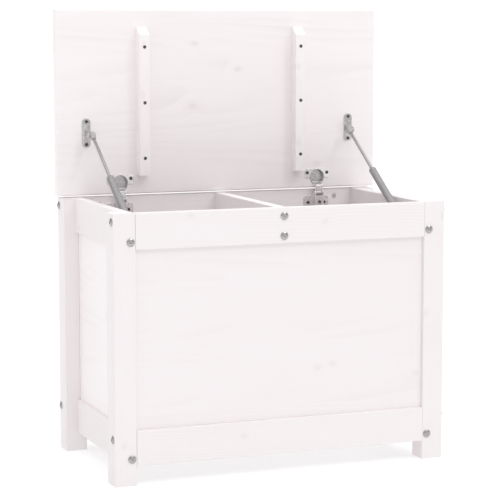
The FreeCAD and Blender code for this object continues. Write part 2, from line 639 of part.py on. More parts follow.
bores = lid_sketch(lid_body, "cup_bores", "Sizes.lid_thick")
for sign in SIDES:
    number = bores.addGeometry(Part.Circle(
        Vector(sign * level("hinge_offset"), level("cup_centre"), 0), AXIS_Z, size("cup_radius")))
    radius = bores.addConstraint(Sketcher.Constraint("Radius", number, size("cup_radius")))
    bores.setExpression(f"Constraints[{radius}]", "Sizes.cup_radius + Sizes.hole_slack")
    low, high = ((number, 3), (-1, 1)) if sign < 0 else ((-1, 1), (number, 3))
    aside = bores.addConstraint(Sketcher.Constraint("DistanceX", *low, *high, level("hinge_offset")))
    bores.setExpression(f"Constraints[{aside}]", "Layout.hinge_offset")
    above = bores.addConstraint(Sketcher.Constraint("DistanceY", -1, 1, number, 3, level("cup_centre")))
    bores.setExpression(f"Constraints[{above}]", "Layout.cup_centre")
bored = lid_body.newObject("PartDesign::Pocket", "lid_bored")
bored.Profile = bores
bored.setExpression("Length", "Sizes.cup_depth + Sizes.bore_floor_gap")
lid_body.Tip = bored
move(lid_body, "0", "Layout.open_underside + Sizes.lid_thick", "Layout.lid_base")
doc.recompute()

screw_long = screw_shape(size("batten_screw_length"))
screw_short = screw_shape(size("plate_screw_length"), pan=True)
batten_screws, cup_screws, lid_bracket_screws = [], [], []
screw_pitch = (level("batten_length") - size("batten_screw_start") - size("batten_screw_end")) / 2
lid_pilots = []
for sign in SIDES:
    label = side_name(sign, "left", "right") + "_batten"
    wedge = doc.addObject("Part::Wedge", label + "_blank")
    bind(wedge, Xmax="Sizes.batten_width", X2max="Sizes.batten_width", Ymax="Sizes.batten_thick",
         Zmax="Layout.batten_length - Sizes.batten_bevel", Z2max="Layout.batten_length")
    for name in ("Xmin", "X2min", "Ymin", "Zmin", "Z2min"):
        setattr(wedge, name, 0)
    move(wedge, f"{signed(sign, 'Layout.batten_offset')} - Sizes.batten_width / 2",
         "Layout.open_underside - Sizes.batten_thick", "Layout.lid_base + Sizes.batten_start")
    holes = []
    for turn in range(3):
        along = size("batten_start") + size("batten_screw_start") + turn * screw_pitch
        at = on_lid(sign * level("batten_offset"), along, size("batten_thick"))
        batten_screws.append(placed(screw_long, at, facing(-AXIS_Y)))
        holes.append(pilot(size("batten_screw_length"), at, AXIS_Y))
    lid_pilots += holes
    tool = doc.addObject("Part::Feature", label + "_pilots")
    tool.Shape = Part.makeCompound(holes)
    keep(label, cut(label, wedge, [tool]))
group_node("batten_screws", batten_screws)

# ---------------------------------------------------------------- concealed hinges


def across_x(radius, half, place):
    """A cylinder along X, centred on a place."""
    return Part.makeCylinder(radius, 2 * half, place - AXIS_X * half, AXIS_X)


def strip(first, second, half, x_low, x_high):
    """A flat bar between two points of the YZ plane, with round ends, as wide as its span along X."""
    run = (second - first).normalize()
    aside = AXIS_X.cross(run) * half
    shift = AXIS_X * x_low
    loop = [first + aside, second + aside, second - aside, first - aside, first + aside]
    bar = Part.Face(Part.makePolygon([point + shift for point in loop])).extrude(AXIS_X * (x_high - x_low))
    for end in (first, second):
        bar = bar.fuse(Part.makeCylinder(half, x_high - x_low, end + shift, AXIS_X))
    return bar.removeSplitter()


def plate(low, high, direction, radius):
    """A sheet between two corners, with rounded corners about one direction."""
    sheet_metal = Part.makeBox(*(high - low), low)
    picked = []
    for edge in sheet_metal.Edges:
        run = (edge.Vertexes[1].Point - edge.Vertexes[0].Point).normalize()
        if abs(run.dot(direction)) > 0.999:
            picked.append(edge)
    return sheet_metal.makeFillet(radius, picked)


def link_shape():
    """The hinge's swinging link: two bowed cheeks, joined by a web on their outer side."""
    half, web, thick = size("link_half"), size("link_sheet"), size("link_strip")
    along = cup_pin - arm_pin
    elbow = arm_pin + along * 0.5 + AXIS_X.cross(along).normalize() * size("link_bow")
    shape = None
    for low in (-half, half - web):
        for first, second in ((arm_pin, elbow), (elbow, cup_pin)):
            cheek = strip(first, second, thick, low, low + web)
            shape = cheek if shape is None else shape.fuse(cheek)
    # The web starts part of the way along the lower arm and stops halfway along the upper one.
    for first, last in ((arm_pin + (elbow - arm_pin) * 0.4, elbow), (elbow, (elbow + cup_pin) * 0.5)):
        outward = AXIS_X.cross(last - first).normalize() * (thick - web / 2)
        shape = shape.fuse(strip(first + outward, last + outward, web / 2, -half, half))
    for pin in (arm_pin, cup_pin):
        shape = shape.cut(across_x(size("pin_radius") + size("pin_run"), half + 1, pin))
    return shape.removeSplitter()


def cup_shape():
    """The hinge cup with its screw flange and the two ears that hold its pin."""
    radius, wall, depth = size("cup_radius"), size("cup_wall"), size("cup_depth")
    centre = on_lid(0, level("cup_centre"), 0)
    shell = Part.makeCylinder(radius, depth, centre, AXIS_Y)
    low = on_lid(-level("flange_half"), level("flange_start"), size("flange_thick"))
    high = on_lid(level("flange_half"), level("flange_end"), 0)
    shell = shell.fuse(plate(low, high, AXIS_Y, size("flange_round")))
    hollow = Part.makeCylinder(radius - wall, depth - wall + size("flange_thick"),
                               on_lid(0, level("cup_centre"), size("flange_thick")), AXIS_Y)
    shell = shell.cut(hollow)
    ear_low = size("link_half") + size("ear_gap")
    # The rim is notched where the link passes over it.
    notch = Part.makeBox(2 * ear_low, size("cup_notch"), radius / 2, on_lid(-ear_low, size("cup_edge"), 0))
    shell = shell.cut(notch)
    envelope = Part.makeCylinder(radius - wall / 2, depth - wall / 2, centre, AXIS_Y)
    for low in (ear_low, -ear_low - size("ear_sheet")):
        ear = strip(cup_pin, cup_pin + AXIS_Y * (depth - size("cup_pin_deep")), size("ear_radius"),
                    low, low + size("ear_sheet"))
        shell = shell.fuse(ear.common(envelope))
    shell = shell.cut(across_x(size("pin_radius"), ear_low + size("ear_sheet") - size("pin_sink"), cup_pin))
    for sign in SIDES:
        seat = on_lid(sign * level("cup_screw_half"), level("cup_centre") + size("cup_screw_setback"),
                      size("flange_thick"))
        shell = shell.cut(Part.makeCylinder(size("screw_radius") + size("hole_slack"),
                                            2 * size("flange_thick"), seat, AXIS_Y))
    return shell.removeSplitter()


def arm_screw_places():
    """Where the arm's two screws sit on its web."""
    face = arm_pin.y - size("arm_ear")
    return [Vector(0, face, arm_pin.z - size("arm_screw_first") - turn * size("arm_screw_pitch"))
            for turn in range(2)]


def arm_shape():
    """The hinge arm: a channel over the mounting plate, open at its upper end around the link."""
    inner = size("link_half") + size("ear_gap")
    outer = inner + size("arm_sheet")
    ear, foot = size("arm_ear"), level("rail_inner") - size("plate_thick")
    low = Vector(-outer, arm_pin.y - ear, arm_pin.z - size("arm_length"))
    channel = Part.makeBox(2 * outer, foot - low.y, size("arm_length"), low)
    channel = channel.fuse(across_x(ear, outer, arm_pin))
    hollow = Part.makeBox(2 * inner, foot - low.y, size("arm_length") + 2 * ear,
                          Vector(-inner, low.y + size("arm_sheet"), low.z + size("arm_sheet")))
    mouth = Part.makeBox(2 * inner, 2 * ear, size("arm_mouth") + 2 * ear,
                         Vector(-inner, low.y - 1, arm_pin.z - size("arm_mouth")))
    shape = channel.cut(hollow).cut(mouth).cut(across_x(size("pin_radius"), outer + 1, arm_pin))
    for place in arm_screw_places():
        shape = shape.cut(Part.makeCylinder(size("arm_screw_radius") + size("hole_slack"),
                                            2 * size("arm_sheet"), place - AXIS_Y, AXIS_Y))
    return shape.removeSplitter()


def arm_screw_shape():
    """A machine screw along +Z: flat head above z = 0 with a cross slot, shank down to the plate."""
    length = level("rail_inner") - size("plate_thick") - arm_screw_places()[0].y
    head, rise, wide = size("arm_screw_head"), size("arm_screw_rise"), size("cross_slot")
    shape = Part.makeCylinder(size("arm_screw_radius"), length, Vector(0, 0, -length))
    shape = shape.fuse(Part.makeCylinder(head, rise)).removeSplitter()
    for slot in (Vector(size("arm_cross_reach"), wide, 0), Vector(wide, size("arm_cross_reach"), 0)):
        shape = shape.cut(Part.makeBox(slot.x, slot.y, rise, Vector(-slot.x / 2, -slot.y / 2, rise / 2)))
    return shape


def mount_shape():
    """The mounting plate: a thick centre strip under the arm and a thin wing on each side."""
    inner, thick = level("rail_inner"), size("plate_thick")
    half = size("link_half") + size("ear_gap") + size("arm_sheet")
    top = box_height - size("wing_top_drop")
    centre_top = top + (size("plate_height") - size("wing_height")) / 2 - size("plate_shift")
    centre = plate(Vector(-half, inner - thick, centre_top - size("plate_height")),
                   Vector(half, inner, centre_top), AXIS_Y, size("plate_round"))
    wings = plate(Vector(-level("flange_half"), inner - size("wing_thick"), top - size("wing_height")),
                  Vector(level("flange_half"), inner, top), AXIS_Y, size("flange_round"))
    shape = centre.fuse(wings).removeSplitter()
    for place in wing_screw_places():
        shape = shape.cut(Part.makeCylinder(size("screw_radius") + size("hole_slack"),
                                            2 * size("wing_thick"), place, AXIS_Y))
    return shape


def wing_screw_places():
    """Where the two screws seat on the wings of a mounting plate."""
    at = box_height - size("wing_top_drop") - size("wing_height") / 2
    return [Vector(sign * size("wing_screw_half"), level("rail_inner") - size("wing_thick"), at)
            for sign in SIDES]


arm_pins, cup_pins, arm_screws, wing_screws, rail_pilots = [], [], [], [], []
arm_half = size("link_half") + size("ear_gap") + size("arm_sheet")
cup_ear_half = size("link_half") + size("ear_gap") + size("ear_sheet") - size("pin_sink")
arm_screw = arm_screw_shape()
for sign in SIDES:
    side = side_name(sign, "left", "right")
    shift = AXIS_X * (sign * level("hinge_offset"))
    solid_node(side + "_hinge_cup", cup_shape().translated(shift))
    solid_node(side + "_hinge_link", link_shape().translated(shift))
    solid_node(side + "_hinge_arm", arm_shape().translated(shift))
    solid_node(side + "_hinge_plate", mount_shape().translated(shift))
    arm_pins.append(across_x(size("pin_radius"), arm_half, arm_pin + shift))
    cup_pins.append(across_x(size("pin_radius"), cup_ear_half, cup_pin + shift))
    arm_screws += [placed(arm_screw, place + shift, facing(-AXIS_Y)) for place in arm_screw_places()]
    for place in wing_screw_places():
        wing_screws.append(placed(screw_short, place + shift, facing(-AXIS_Y)))
        rail_pilots.append(pilot(size("plate_screw_length"), place + shift, AXIS_Y, False))
    for sign_screw in SIDES:
        seat = on_lid(sign_screw * level("cup_screw_half"),
                      level("cup_centre") + size("cup_screw_setback"), size("flange_thick")) + shift
        cup_screws.append(placed(screw_short, seat, facing(-AXIS_Y)))
        lid_pilots.append(pilot(size("plate_screw_length"), seat, AXIS_Y, False))
group_node("hinge_arm_pins", arm_pins)
group_node("hinge_cup_pins", cup_pins)
group_node("hinge_arm_screws", arm_screws)
group_node("hinge_plate_screws", wing_screws)
group_node("hinge_cup_screws", cup_screws)

# ---------------------------------------------------------------- gas struts and their brackets

strut_run = (strut_top - strut_low).normalize()
tube_start = strut_low + strut_run * size("low_fitting")
tube_end = tube_start + strut_run * tube_length
eye_half = size("eye_thick") / 2


def rod_bar(radius, first, last):
    """A round bar along the strut, from one distance to another past the tube's outer end."""
    return Part.makeCylinder(radius, last - first, tube_end + strut_run * first, strut_run)


def tube_shape():
    """The strut's pressure tube, its base eye drilled for the stud, with a rolled lip round the rod."""
    bore = size("tube_radius") - size("tube_wall")
    shape = Part.makeCylinder(size("tube_radius"), tube_length, tube_start, strut_run)
    shape = shape.cut(rod_bar(bore, size("tube_base") - tube_length, -size("tube_lip")))
    shape = shape.cut(rod_bar(size("rod_radius") + size("stud_gap"), -size("tube_lip") - 1, 1))
    shape = shape.fuse(Part.makeCylinder(size("neck_radius"), size("low_fitting"), strut_low, strut_run))
    shape = shape.fuse(across_x(size("low_eye_radius"), eye_half, strut_low))
    hole = across_x(size("stud_radius") + size("rod_run"), eye_half + 1, strut_low)
    return shape.cut(hole).removeSplitter()


def rod_shape():
    """The piston rod, with the socket that snaps over the lid bracket's ball."""
    reach = strut_open.Length - size("low_fitting") - tube_length
    shape = rod_bar(size("rod_radius"), -size("rod_inside"), reach - size("top_fitting") / 2)
    neck_end = reach - size("eye_radius") / 2
    shape = shape.fuse(rod_bar(size("neck_radius"), reach - size("top_fitting"), neck_end))
    return shape.fuse(across_x(size("eye_radius"), eye_half, strut_top)).removeSplitter()


def ring(outer, inner, first, last):
    return rod_bar(outer, first, last).cut(rod_bar(inner, first - 1, last + 1))


def lid_plate_middle():
    """The middle of the plate that is screwed to the lid: its X and its distance along the lid."""
    return strut_x + size("lid_plate_aside"), size("strut_top_along") + size("lid_plate_lead")


def lid_bracket_shape():
    """The plate screwed to the lid, with a tab that carries the ball for the strut's socket."""
    middle, along = lid_plate_middle()
    half, width = size("plate_length") / 2, size("plate_width") / 2
    low = on_lid(middle - width, along - half, size("bracket_sheet"))
    high = on_lid(middle + width, along + half, 0)
    shape = plate(low, high, AXIS_Y, width - size("bracket_end_flat"))
    tab_x = strut_x + eye_half + size("stud_gap") + size("tab_gap")
    tab_high = size("strut_top_proud") + size("tab_over")
    tab = plate(on_lid(tab_x, size("strut_top_along") - size("tab_width") / 2, tab_high),
                on_lid(tab_x + size("bracket_sheet"), size("strut_top_along") + size("tab_width") / 2, 0),
                AXIS_X, size("tab_round"))
    root = Part.makeBox(size("bracket_sheet"), size("tab_root"), size("tab_width"),
                        on_lid(tab_x, size("strut_top_along") - size("tab_width") / 2, size("tab_root")))
    ball = Part.makeCylinder(size("stud_radius"), size("tab_gap"), strut_top + AXIS_X * (tab_x - strut_x),
                             -AXIS_X)
    shape = shape.fuse(tab).fuse(root).fuse(ball).removeSplitter()
    for place in lid_bracket_screws_at():
        shape = shape.cut(Part.makeCylinder(size("screw_radius") + size("hole_slack"),
                                            2 * size("bracket_sheet"), place, AXIS_Y))
    return shape


def lid_bracket_screws_at():
    """Where the two screws seat on the lid bracket."""
    middle, along = lid_plate_middle()
    half = size("bracket_screw_half")
    return [on_lid(middle, along + sign * half, size("bracket_sheet")) for sign in SIDES]


def side_bracket_shape():
    """The plate screwed to the side rail, with the shouldered stud that the strut's base turns on."""
    x = level("post_inner")
    half, width = size("plate_length") / 2, size("plate_width") / 2
    low = Vector(x - size("bracket_sheet"), strut_low.y - half, strut_low.z - width)
    high = Vector(x, strut_low.y + half, strut_low.z + width)
    shape = plate(low, high, AXIS_X, width - size("bracket_end_flat"))
    shoulder = strut_x + eye_half + size("stud_gap")
    end = strut_x - eye_half - size("stud_gap")
    flat = Vector(low.x, strut_low.y, strut_low.z)
    shape = shape.fuse(Part.makeCylinder(size("stud_shoulder"), low.x - shoulder, flat, -AXIS_X))
    shape = shape.fuse(Part.makeCylinder(size("stud_radius"), low.x - end, flat, -AXIS_X))
    cap_at = Vector(end, strut_low.y, strut_low.z)
    cap = Part.makeCylinder(size("stud_shoulder"), size("stud_cap"), cap_at, -AXIS_X)
    shape = shape.fuse(cap).removeSplitter()
    for place in side_bracket_screws_at():
        shape = shape.cut(Part.makeCylinder(size("screw_radius") + size("hole_slack"),
                                            2 * size("bracket_sheet"), place, AXIS_X))
    return shape


def side_bracket_screws_at():
    """Where the two screws seat on the side bracket."""
    x = level("post_inner") - size("bracket_sheet")
    return [Vector(x, strut_low.y + sign * size("bracket_screw_half"), strut_low.z) for sign in SIDES]


def on_side(shape, sign):
    """A piece drawn for the right side, as it is or mirrored to the left."""
    return shape if sign > 0 else shape.mirror(Vector(), AXIS_X)


bore = size("tube_radius") - size("tube_wall")
piston_end = size("piston_length") - size("rod_inside")
side_bracket_screws = []
side_pilots = {}
for sign in SIDES:
    side = side_name(sign, "left", "right")
    solid_node(side + "_strut_tube", on_side(tube_shape(), sign))
    solid_node(side + "_strut_rod", on_side(rod_shape(), sign))
    solid_node(side + "_strut_piston", on_side(
        ring(bore - size("piston_run"), size("rod_radius"), -size("rod_inside"), piston_end), sign))
    solid_node(side + "_strut_guide", on_side(
        ring(bore, size("rod_radius") + size("rod_run"), -size("tube_lip") - size("guide_length"),
             -size("tube_lip")), sign))
    solid_node(side + "_lid_bracket", on_side(lid_bracket_shape(), sign))
    solid_node(side + "_side_bracket", on_side(side_bracket_shape(), sign))
    for place in lid_bracket_screws_at():
        lid_bracket_screws.append(on_side(placed(screw_short, place, facing(-AXIS_Y)), sign))
        lid_pilots.append(on_side(pilot(size("plate_screw_length"), place, AXIS_Y, False), sign))
    side_pilots[side] = []
    for place in side_bracket_screws_at():
        side_bracket_screws.append(on_side(placed(screw_short, place, facing(-AXIS_X)), sign))
        side_pilots[side].append(on_side(pilot(size("plate_screw_length"), place, AXIS_X, False), sign))
group_node("lid_bracket_screws", lid_bracket_screws)
group_node("side_bracket_screws", side_bracket_screws)

# ---------------------------------------------------------------- pilot holes


def pilot_holes(label, blank, holes):
    """A wooden piece with the pilot holes for the screws that go into it."""
    tool = doc.addObject("Part::Feature", label + "_pilot_holes")
    tool.Shape = Part.makeCompound(holes)
    blank.Label = label + "_undrilled"
    keep(label, cut(label + "_drilled", blank, [tool]))


pilot_holes("lid_board", lid_body, lid_pilots)
pilot_holes("back_top_rail", nodes["back_top_rail"], rail_pilots)
for side, holes in side_pilots.items():
    pilot_holes(side + "_top_rail", nodes[side + "_top_rail"], holes)
doc.recompute()

# ---------------------------------------------------------------- checks and files

for obj in doc.Objects:
    if "Invalid" in obj.State or "Error" in obj.State:
        raise RuntimeError(f"{obj.Name} failed: {obj.State}")
for label, obj in nodes.items():
    if obj.Label != label:
        raise RuntimeError(f"{label} is labelled {obj.Label}")
    if obj.Shape.isNull() or not obj.Shape.isValid() or not obj.Shape.Solids:
        raise RuntimeError(f"{label} has no valid solid")
for label, obj in nodes.items():
    obj.Shape.exportStep(f"parts/{label}.step")
print(len(nodes), "nodes,", sum(len(obj.Shape.Solids) for obj in nodes.values()), "solids")
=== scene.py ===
# %% [markdown]
# # A white pine storage bench, with its seat lid standing open
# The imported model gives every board, hinge and strut its true place, so it is loaded first and never
# moved.  Everything after it adds looks: paint and grain on the boards, and finer metal parts in place
# of the plain ones.

# %% Load the frame
import json
import math

import bpy
import numpy as np
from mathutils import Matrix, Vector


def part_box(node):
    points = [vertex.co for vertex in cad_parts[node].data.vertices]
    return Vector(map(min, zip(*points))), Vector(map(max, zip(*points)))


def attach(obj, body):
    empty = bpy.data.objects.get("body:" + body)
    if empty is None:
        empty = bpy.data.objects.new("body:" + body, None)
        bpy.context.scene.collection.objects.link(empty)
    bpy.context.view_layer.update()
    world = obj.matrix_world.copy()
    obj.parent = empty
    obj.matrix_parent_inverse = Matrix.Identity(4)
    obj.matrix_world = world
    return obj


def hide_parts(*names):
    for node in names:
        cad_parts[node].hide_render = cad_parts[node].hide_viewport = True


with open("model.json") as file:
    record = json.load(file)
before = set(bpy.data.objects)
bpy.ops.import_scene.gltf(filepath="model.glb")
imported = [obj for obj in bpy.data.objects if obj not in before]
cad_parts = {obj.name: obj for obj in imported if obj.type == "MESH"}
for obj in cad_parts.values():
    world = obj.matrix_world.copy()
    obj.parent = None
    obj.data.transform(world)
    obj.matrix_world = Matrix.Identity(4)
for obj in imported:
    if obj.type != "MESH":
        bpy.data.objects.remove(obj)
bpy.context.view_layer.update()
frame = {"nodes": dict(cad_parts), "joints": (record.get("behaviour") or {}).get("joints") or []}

MM = 0.001

# %% [markdown]
# ## Camera
# A long lens from well back keeps the upright posts almost parallel, as in a catalogue view.  The
# camera stands to the left of the front and looks a little down, so the open box shows its inside.
# Its place, turn and lens were worked out together from the corners of the box and the lid, because
# setting them one by one by eye never makes all the corners agree.

# %% Stand the camera
CAMERA_PLACE = (-1.3838, -3.5033, 0.8685)
CAMERA_DOWN, CAMERA_TURN, CAMERA_LENS = 6.912, -21.592, 136.5

lens = bpy.data.cameras.new("camera")
lens.lens = CAMERA_LENS
lens.clip_end = 500
camera = bpy.data.objects.new("camera", lens)
camera.location = CAMERA_PLACE
camera.rotation_euler = (math.radians(90 - CAMERA_DOWN), 0, math.radians(CAMERA_TURN))
bpy.context.scene.collection.objects.link(camera)
bpy.context.scene.camera = camera
print("camera", CAMERA_PLACE)

# %% [markdown]
# ## Studio
# White paint on a white ground only shows its shape through soft changes of brightness.  A pale sky
# fills every side.  One weak sun from the front right, high up, leaves the left side a shade darker and
# draws soft shadows under the rails and beside the battens.  A sun lights the whole floor alike, where
# a lamp would fade with distance.  The plain colour transform keeps white paint white.


# %% Light the room
def soft_sun(name, toward, spread, strength):
    """A sun as wide as the spread in degrees, that shines along a direction."""
    light = bpy.data.lights.new(name, "SUN")
    light.angle, light.energy = math.radians(spread), strength
    lamp = bpy.data.objects.new(name, light)
    level_run = math.hypot(toward[0], toward[1])
    lamp.rotation_euler = (math.atan2(level_run, -toward[2]), 0, math.atan2(-toward[0], toward[1]))
    bpy.context.scene.collection.objects.link(lamp)
    return lamp


SUN_TOWARD, SUN_SPREAD, SUN_STRENGTH = (-0.42, 0.55, -0.72), 14, 0.36
bpy.context.scene.view_settings.view_transform = "Standard"
sky = bpy.data.worlds.new("white_sky")
sky.use_nodes = True
paper = sky.node_tree.nodes["Background"]
paper.inputs["Color"].default_value = (1.0, 1.0, 1.0, 1.0)
bpy.context.scene.world = sky
soft_sun("key_sun", SUN_TOWARD, SUN_SPREAD, SUN_STRENGTH)

# %% [markdown]
# ## Node helper
# Every finish below is a short chain of shader nodes.  One helper adds a node, sets its options, and
# either links an input or gives it a plain value, so that each finish reads as a list of its layers.


# %% Add one shader node
def put(tree, kind, inputs=(), **options):
    """Adds a node.  Each input is a (name or number, value or socket) pair."""
    node = tree.nodes.new(kind)
    for name, value in options.items():
        setattr(node, name, value)
    for key, value in dict(inputs).items():
        if isinstance(value, bpy.types.NodeSocket):
            tree.links.new(value, node.inputs[key])
        else:
            node.inputs[key].default_value = value
    return node


def maths(tree, operation, first, second=0.0, third=0.0):
    """One arithmetic step on two or three numbers."""
    return put(tree, "ShaderNodeMath", {0: first, 1: second, 2: third}, operation=operation).outputs[0]


def span(tree, value, low, high, to_low=0.0, to_high=1.0):
    """Maps a range of a value smoothly to another range."""
    return put(tree, "ShaderNodeMapRange", {"Value": value, "From Min": low, "From Max": high,
                                            "To Min": to_low, "To Max": to_high},
               interpolation_type="SMOOTHSTEP").outputs["Result"]


def blend_colour(tree, share, first, second):
    """Goes from the first colour to the second as the share goes from 0 to 1."""
    node = put(tree, "ShaderNodeMix", {"Factor": share}, data_type="RGBA")
    for socket, colour in ((node.inputs[6], first), (node.inputs[7], second)):
        if isinstance(colour, bpy.types.NodeSocket):
            tree.links.new(colour, socket)
        else:
            socket.default_value = (*colour, 1.0)
    return node.outputs[2]


def noise(tree, place, scale, detail=3.0, roughness=0.55):
    """A soft random value between 0 and 1."""
    return put(tree, "ShaderNodeTexNoise", {"Vector": place, "Scale": scale, "Detail": detail,
                                            "Roughness": roughness}).outputs["Fac"]


# %% Start a finish
def new_finish(name):
    """An empty material with its shader, and its place on the object in metres."""
    finish = bpy.data.materials.new(name)
    finish.use_nodes = True
    tree = finish.node_tree
    tree.nodes.clear()
    shader = put(tree, "ShaderNodeBsdfPrincipled")
    out = put(tree, "ShaderNodeOutputMaterial")
    tree.links.new(shader.outputs["BSDF"], out.inputs["Surface"])
    place = put(tree, "ShaderNodeTexCoord").outputs["Object"]
    return finish, tree, shader, place


def eased(tree, radius):
    """The surface direction with every edge eased to a radius."""
    return put(tree, "ShaderNodeBevel", {"Radius": radius}, samples=4).outputs["Normal"]


def edge_share(tree, rounded):
    """Near 1 by an edge and 0 on a flat, from how far the eased direction turns from the true one."""
    plain = put(tree, "ShaderNodeNewGeometry").outputs["Normal"]
    along = put(tree, "ShaderNodeVectorMath", {0: rounded, 1: plain}, operation="DOT_PRODUCT")
    return span(tree, maths(tree, "SUBTRACT", 1.0, along.outputs["Value"]), 0.0, 0.25)


# %% [markdown]
# ## Sky
# An even sky would leave the inside of an open box dark, because little of it is seen from in there.
# A sky that grows whiter towards the top sends more light straight down between the boards.  A thin
# white band along the horizon hides where the floor ends.

# %% Shade the sky by height
SKY_ROUND, SKY_OVERHEAD, SKY_HORIZON = 0.52, 1.08, 0.60
OVERHEAD_BAND, HORIZON_BAND = (0.25, 0.95), (0.05, 0.02)
toward = put(sky.node_tree, "ShaderNodeTexCoord").outputs["Generated"]
height = put(sky.node_tree, "ShaderNodeSeparateXYZ", {0: toward}).outputs[2]
sky_light = SKY_ROUND
for band, extra in ((OVERHEAD_BAND, SKY_OVERHEAD), (HORIZON_BAND, SKY_HORIZON)):
    sky_light = maths(sky.node_tree, "ADD", span(sky.node_tree, height, *band, 0.0, extra), sky_light)
sky.node_tree.links.new(sky_light, paper.inputs["Strength"])
print("sky", SKY_ROUND, "and overhead", SKY_ROUND + SKY_OVERHEAD)

# %% [markdown]
# ## Painted pine
# The boards are solid pine under a thin coat of white paint, which lets the yearly rings, the fibres
# and the knots show through as faint shadows and ridges.  A tree grows in rings round its pith, so the
# finish works out how far a point lies from a pith line inside or behind the board.  The rings taper
# along the trunk, which draws the long arches of a flat-sawn board.  Wide boards are glued from
# staves, and each stave takes its own pith.  A stretched wave pattern would be simpler, but it looks
# alike on every face.  Rings that are a pattern in space show end on at the ends of a board.

# %% Mix the painted pine
WHITE_PAINT = (0.878, 0.836, 0.843)
# A whiter copy of the paint, for boards in shade: painted light.
SHADE_LIFT_WHITE = (0.950, 0.905, 0.913)
LATE_WOOD = (0.800, 0.735, 0.728)
KNOT_SHADE = (0.700, 0.610, 0.590)
# The light tint of the painted highlight along eased edges.
EDGE_HIGHLIGHT_TINT = (0.930, 0.900, 0.900)
RING_PITCH, RING_TAPER, RING_SWAY = 5.2 * MM, 0.020, 0.018
KNOT_EYE, KNOT_REACH, KNOT_BULGE, KNOT_STRETCH = 9 * MM, 30 * MM, 0.003, 0.72
RING_SHADE, FIBRE_SHADE, BLOTCH_SHADE, KNOT_DARKNESS = 0.20, 0.10, 0.10, 0.22
EASED_EDGE = 0.6 * MM
AXIS_NUMBER = {"x": 0, "y": 1, "z": 2}
print("one ring each", round(RING_PITCH / MM, 1), "mm")


def board_place(tree, place, along, wide):
    """Object coordinates in a board's own order: along the grain, across its width, into its depth."""
    parts = put(tree, "ShaderNodeSeparateXYZ", {0: place}).outputs
    deep = next(axis for axis in "xyz" if axis not in (along, wide))
    return put(tree, "ShaderNodeCombineXYZ", {number: parts[AXIS_NUMBER[axis]]
                                              for number, axis in enumerate((along, wide, deep))}).outputs[0]


def grain_place(tree, board, stave, shift):
    """Measures a board's own coordinates from the pith of the stave they lie in.

    The width is cut into staves.  Each stave moves the pith sideways, deeper and along by its own
    random amounts, and the pith lies a few centimetres behind the face."""
    parts = put(tree, "ShaderNodeSeparateXYZ", {0: board}).outputs
    across = maths(tree, "ADD", parts[1], shift[1])
    number = maths(tree, "FLOOR", maths(tree, "DIVIDE", across, stave))
    middle = maths(tree, "MULTIPLY", maths(tree, "ADD", number, 0.5), stave)
    chance = put(tree, "ShaderNodeTexWhiteNoise", {"W": maths(tree, "ADD", number, shift[0])},
                 noise_dimensions="1D").outputs["Color"]
    chances = put(tree, "ShaderNodeSeparateColor", {0: chance}).outputs
    run = maths(tree, "MULTIPLY_ADD", chances[0], 3.0, parts[0])
    side = maths(tree, "MULTIPLY_ADD", maths(tree, "SUBTRACT", chances[1], 0.5), stave,
                 maths(tree, "SUBTRACT", across, middle))
    depth = maths(tree, "ADD", parts[2], maths(tree, "MULTIPLY_ADD", chances[2], 0.05, shift[2]))
    return put(tree, "ShaderNodeCombineXYZ", {0: run, 1: side, 2: depth}).outputs[0]


def stretched(tree, place, along, across):
    """Scales a board's own coordinates, so that a pattern is drawn out along the grain."""
    return put(tree, "ShaderNodeVectorMath", {0: place, 1: (along, across, across)},
               operation="MULTIPLY").outputs["Vector"]


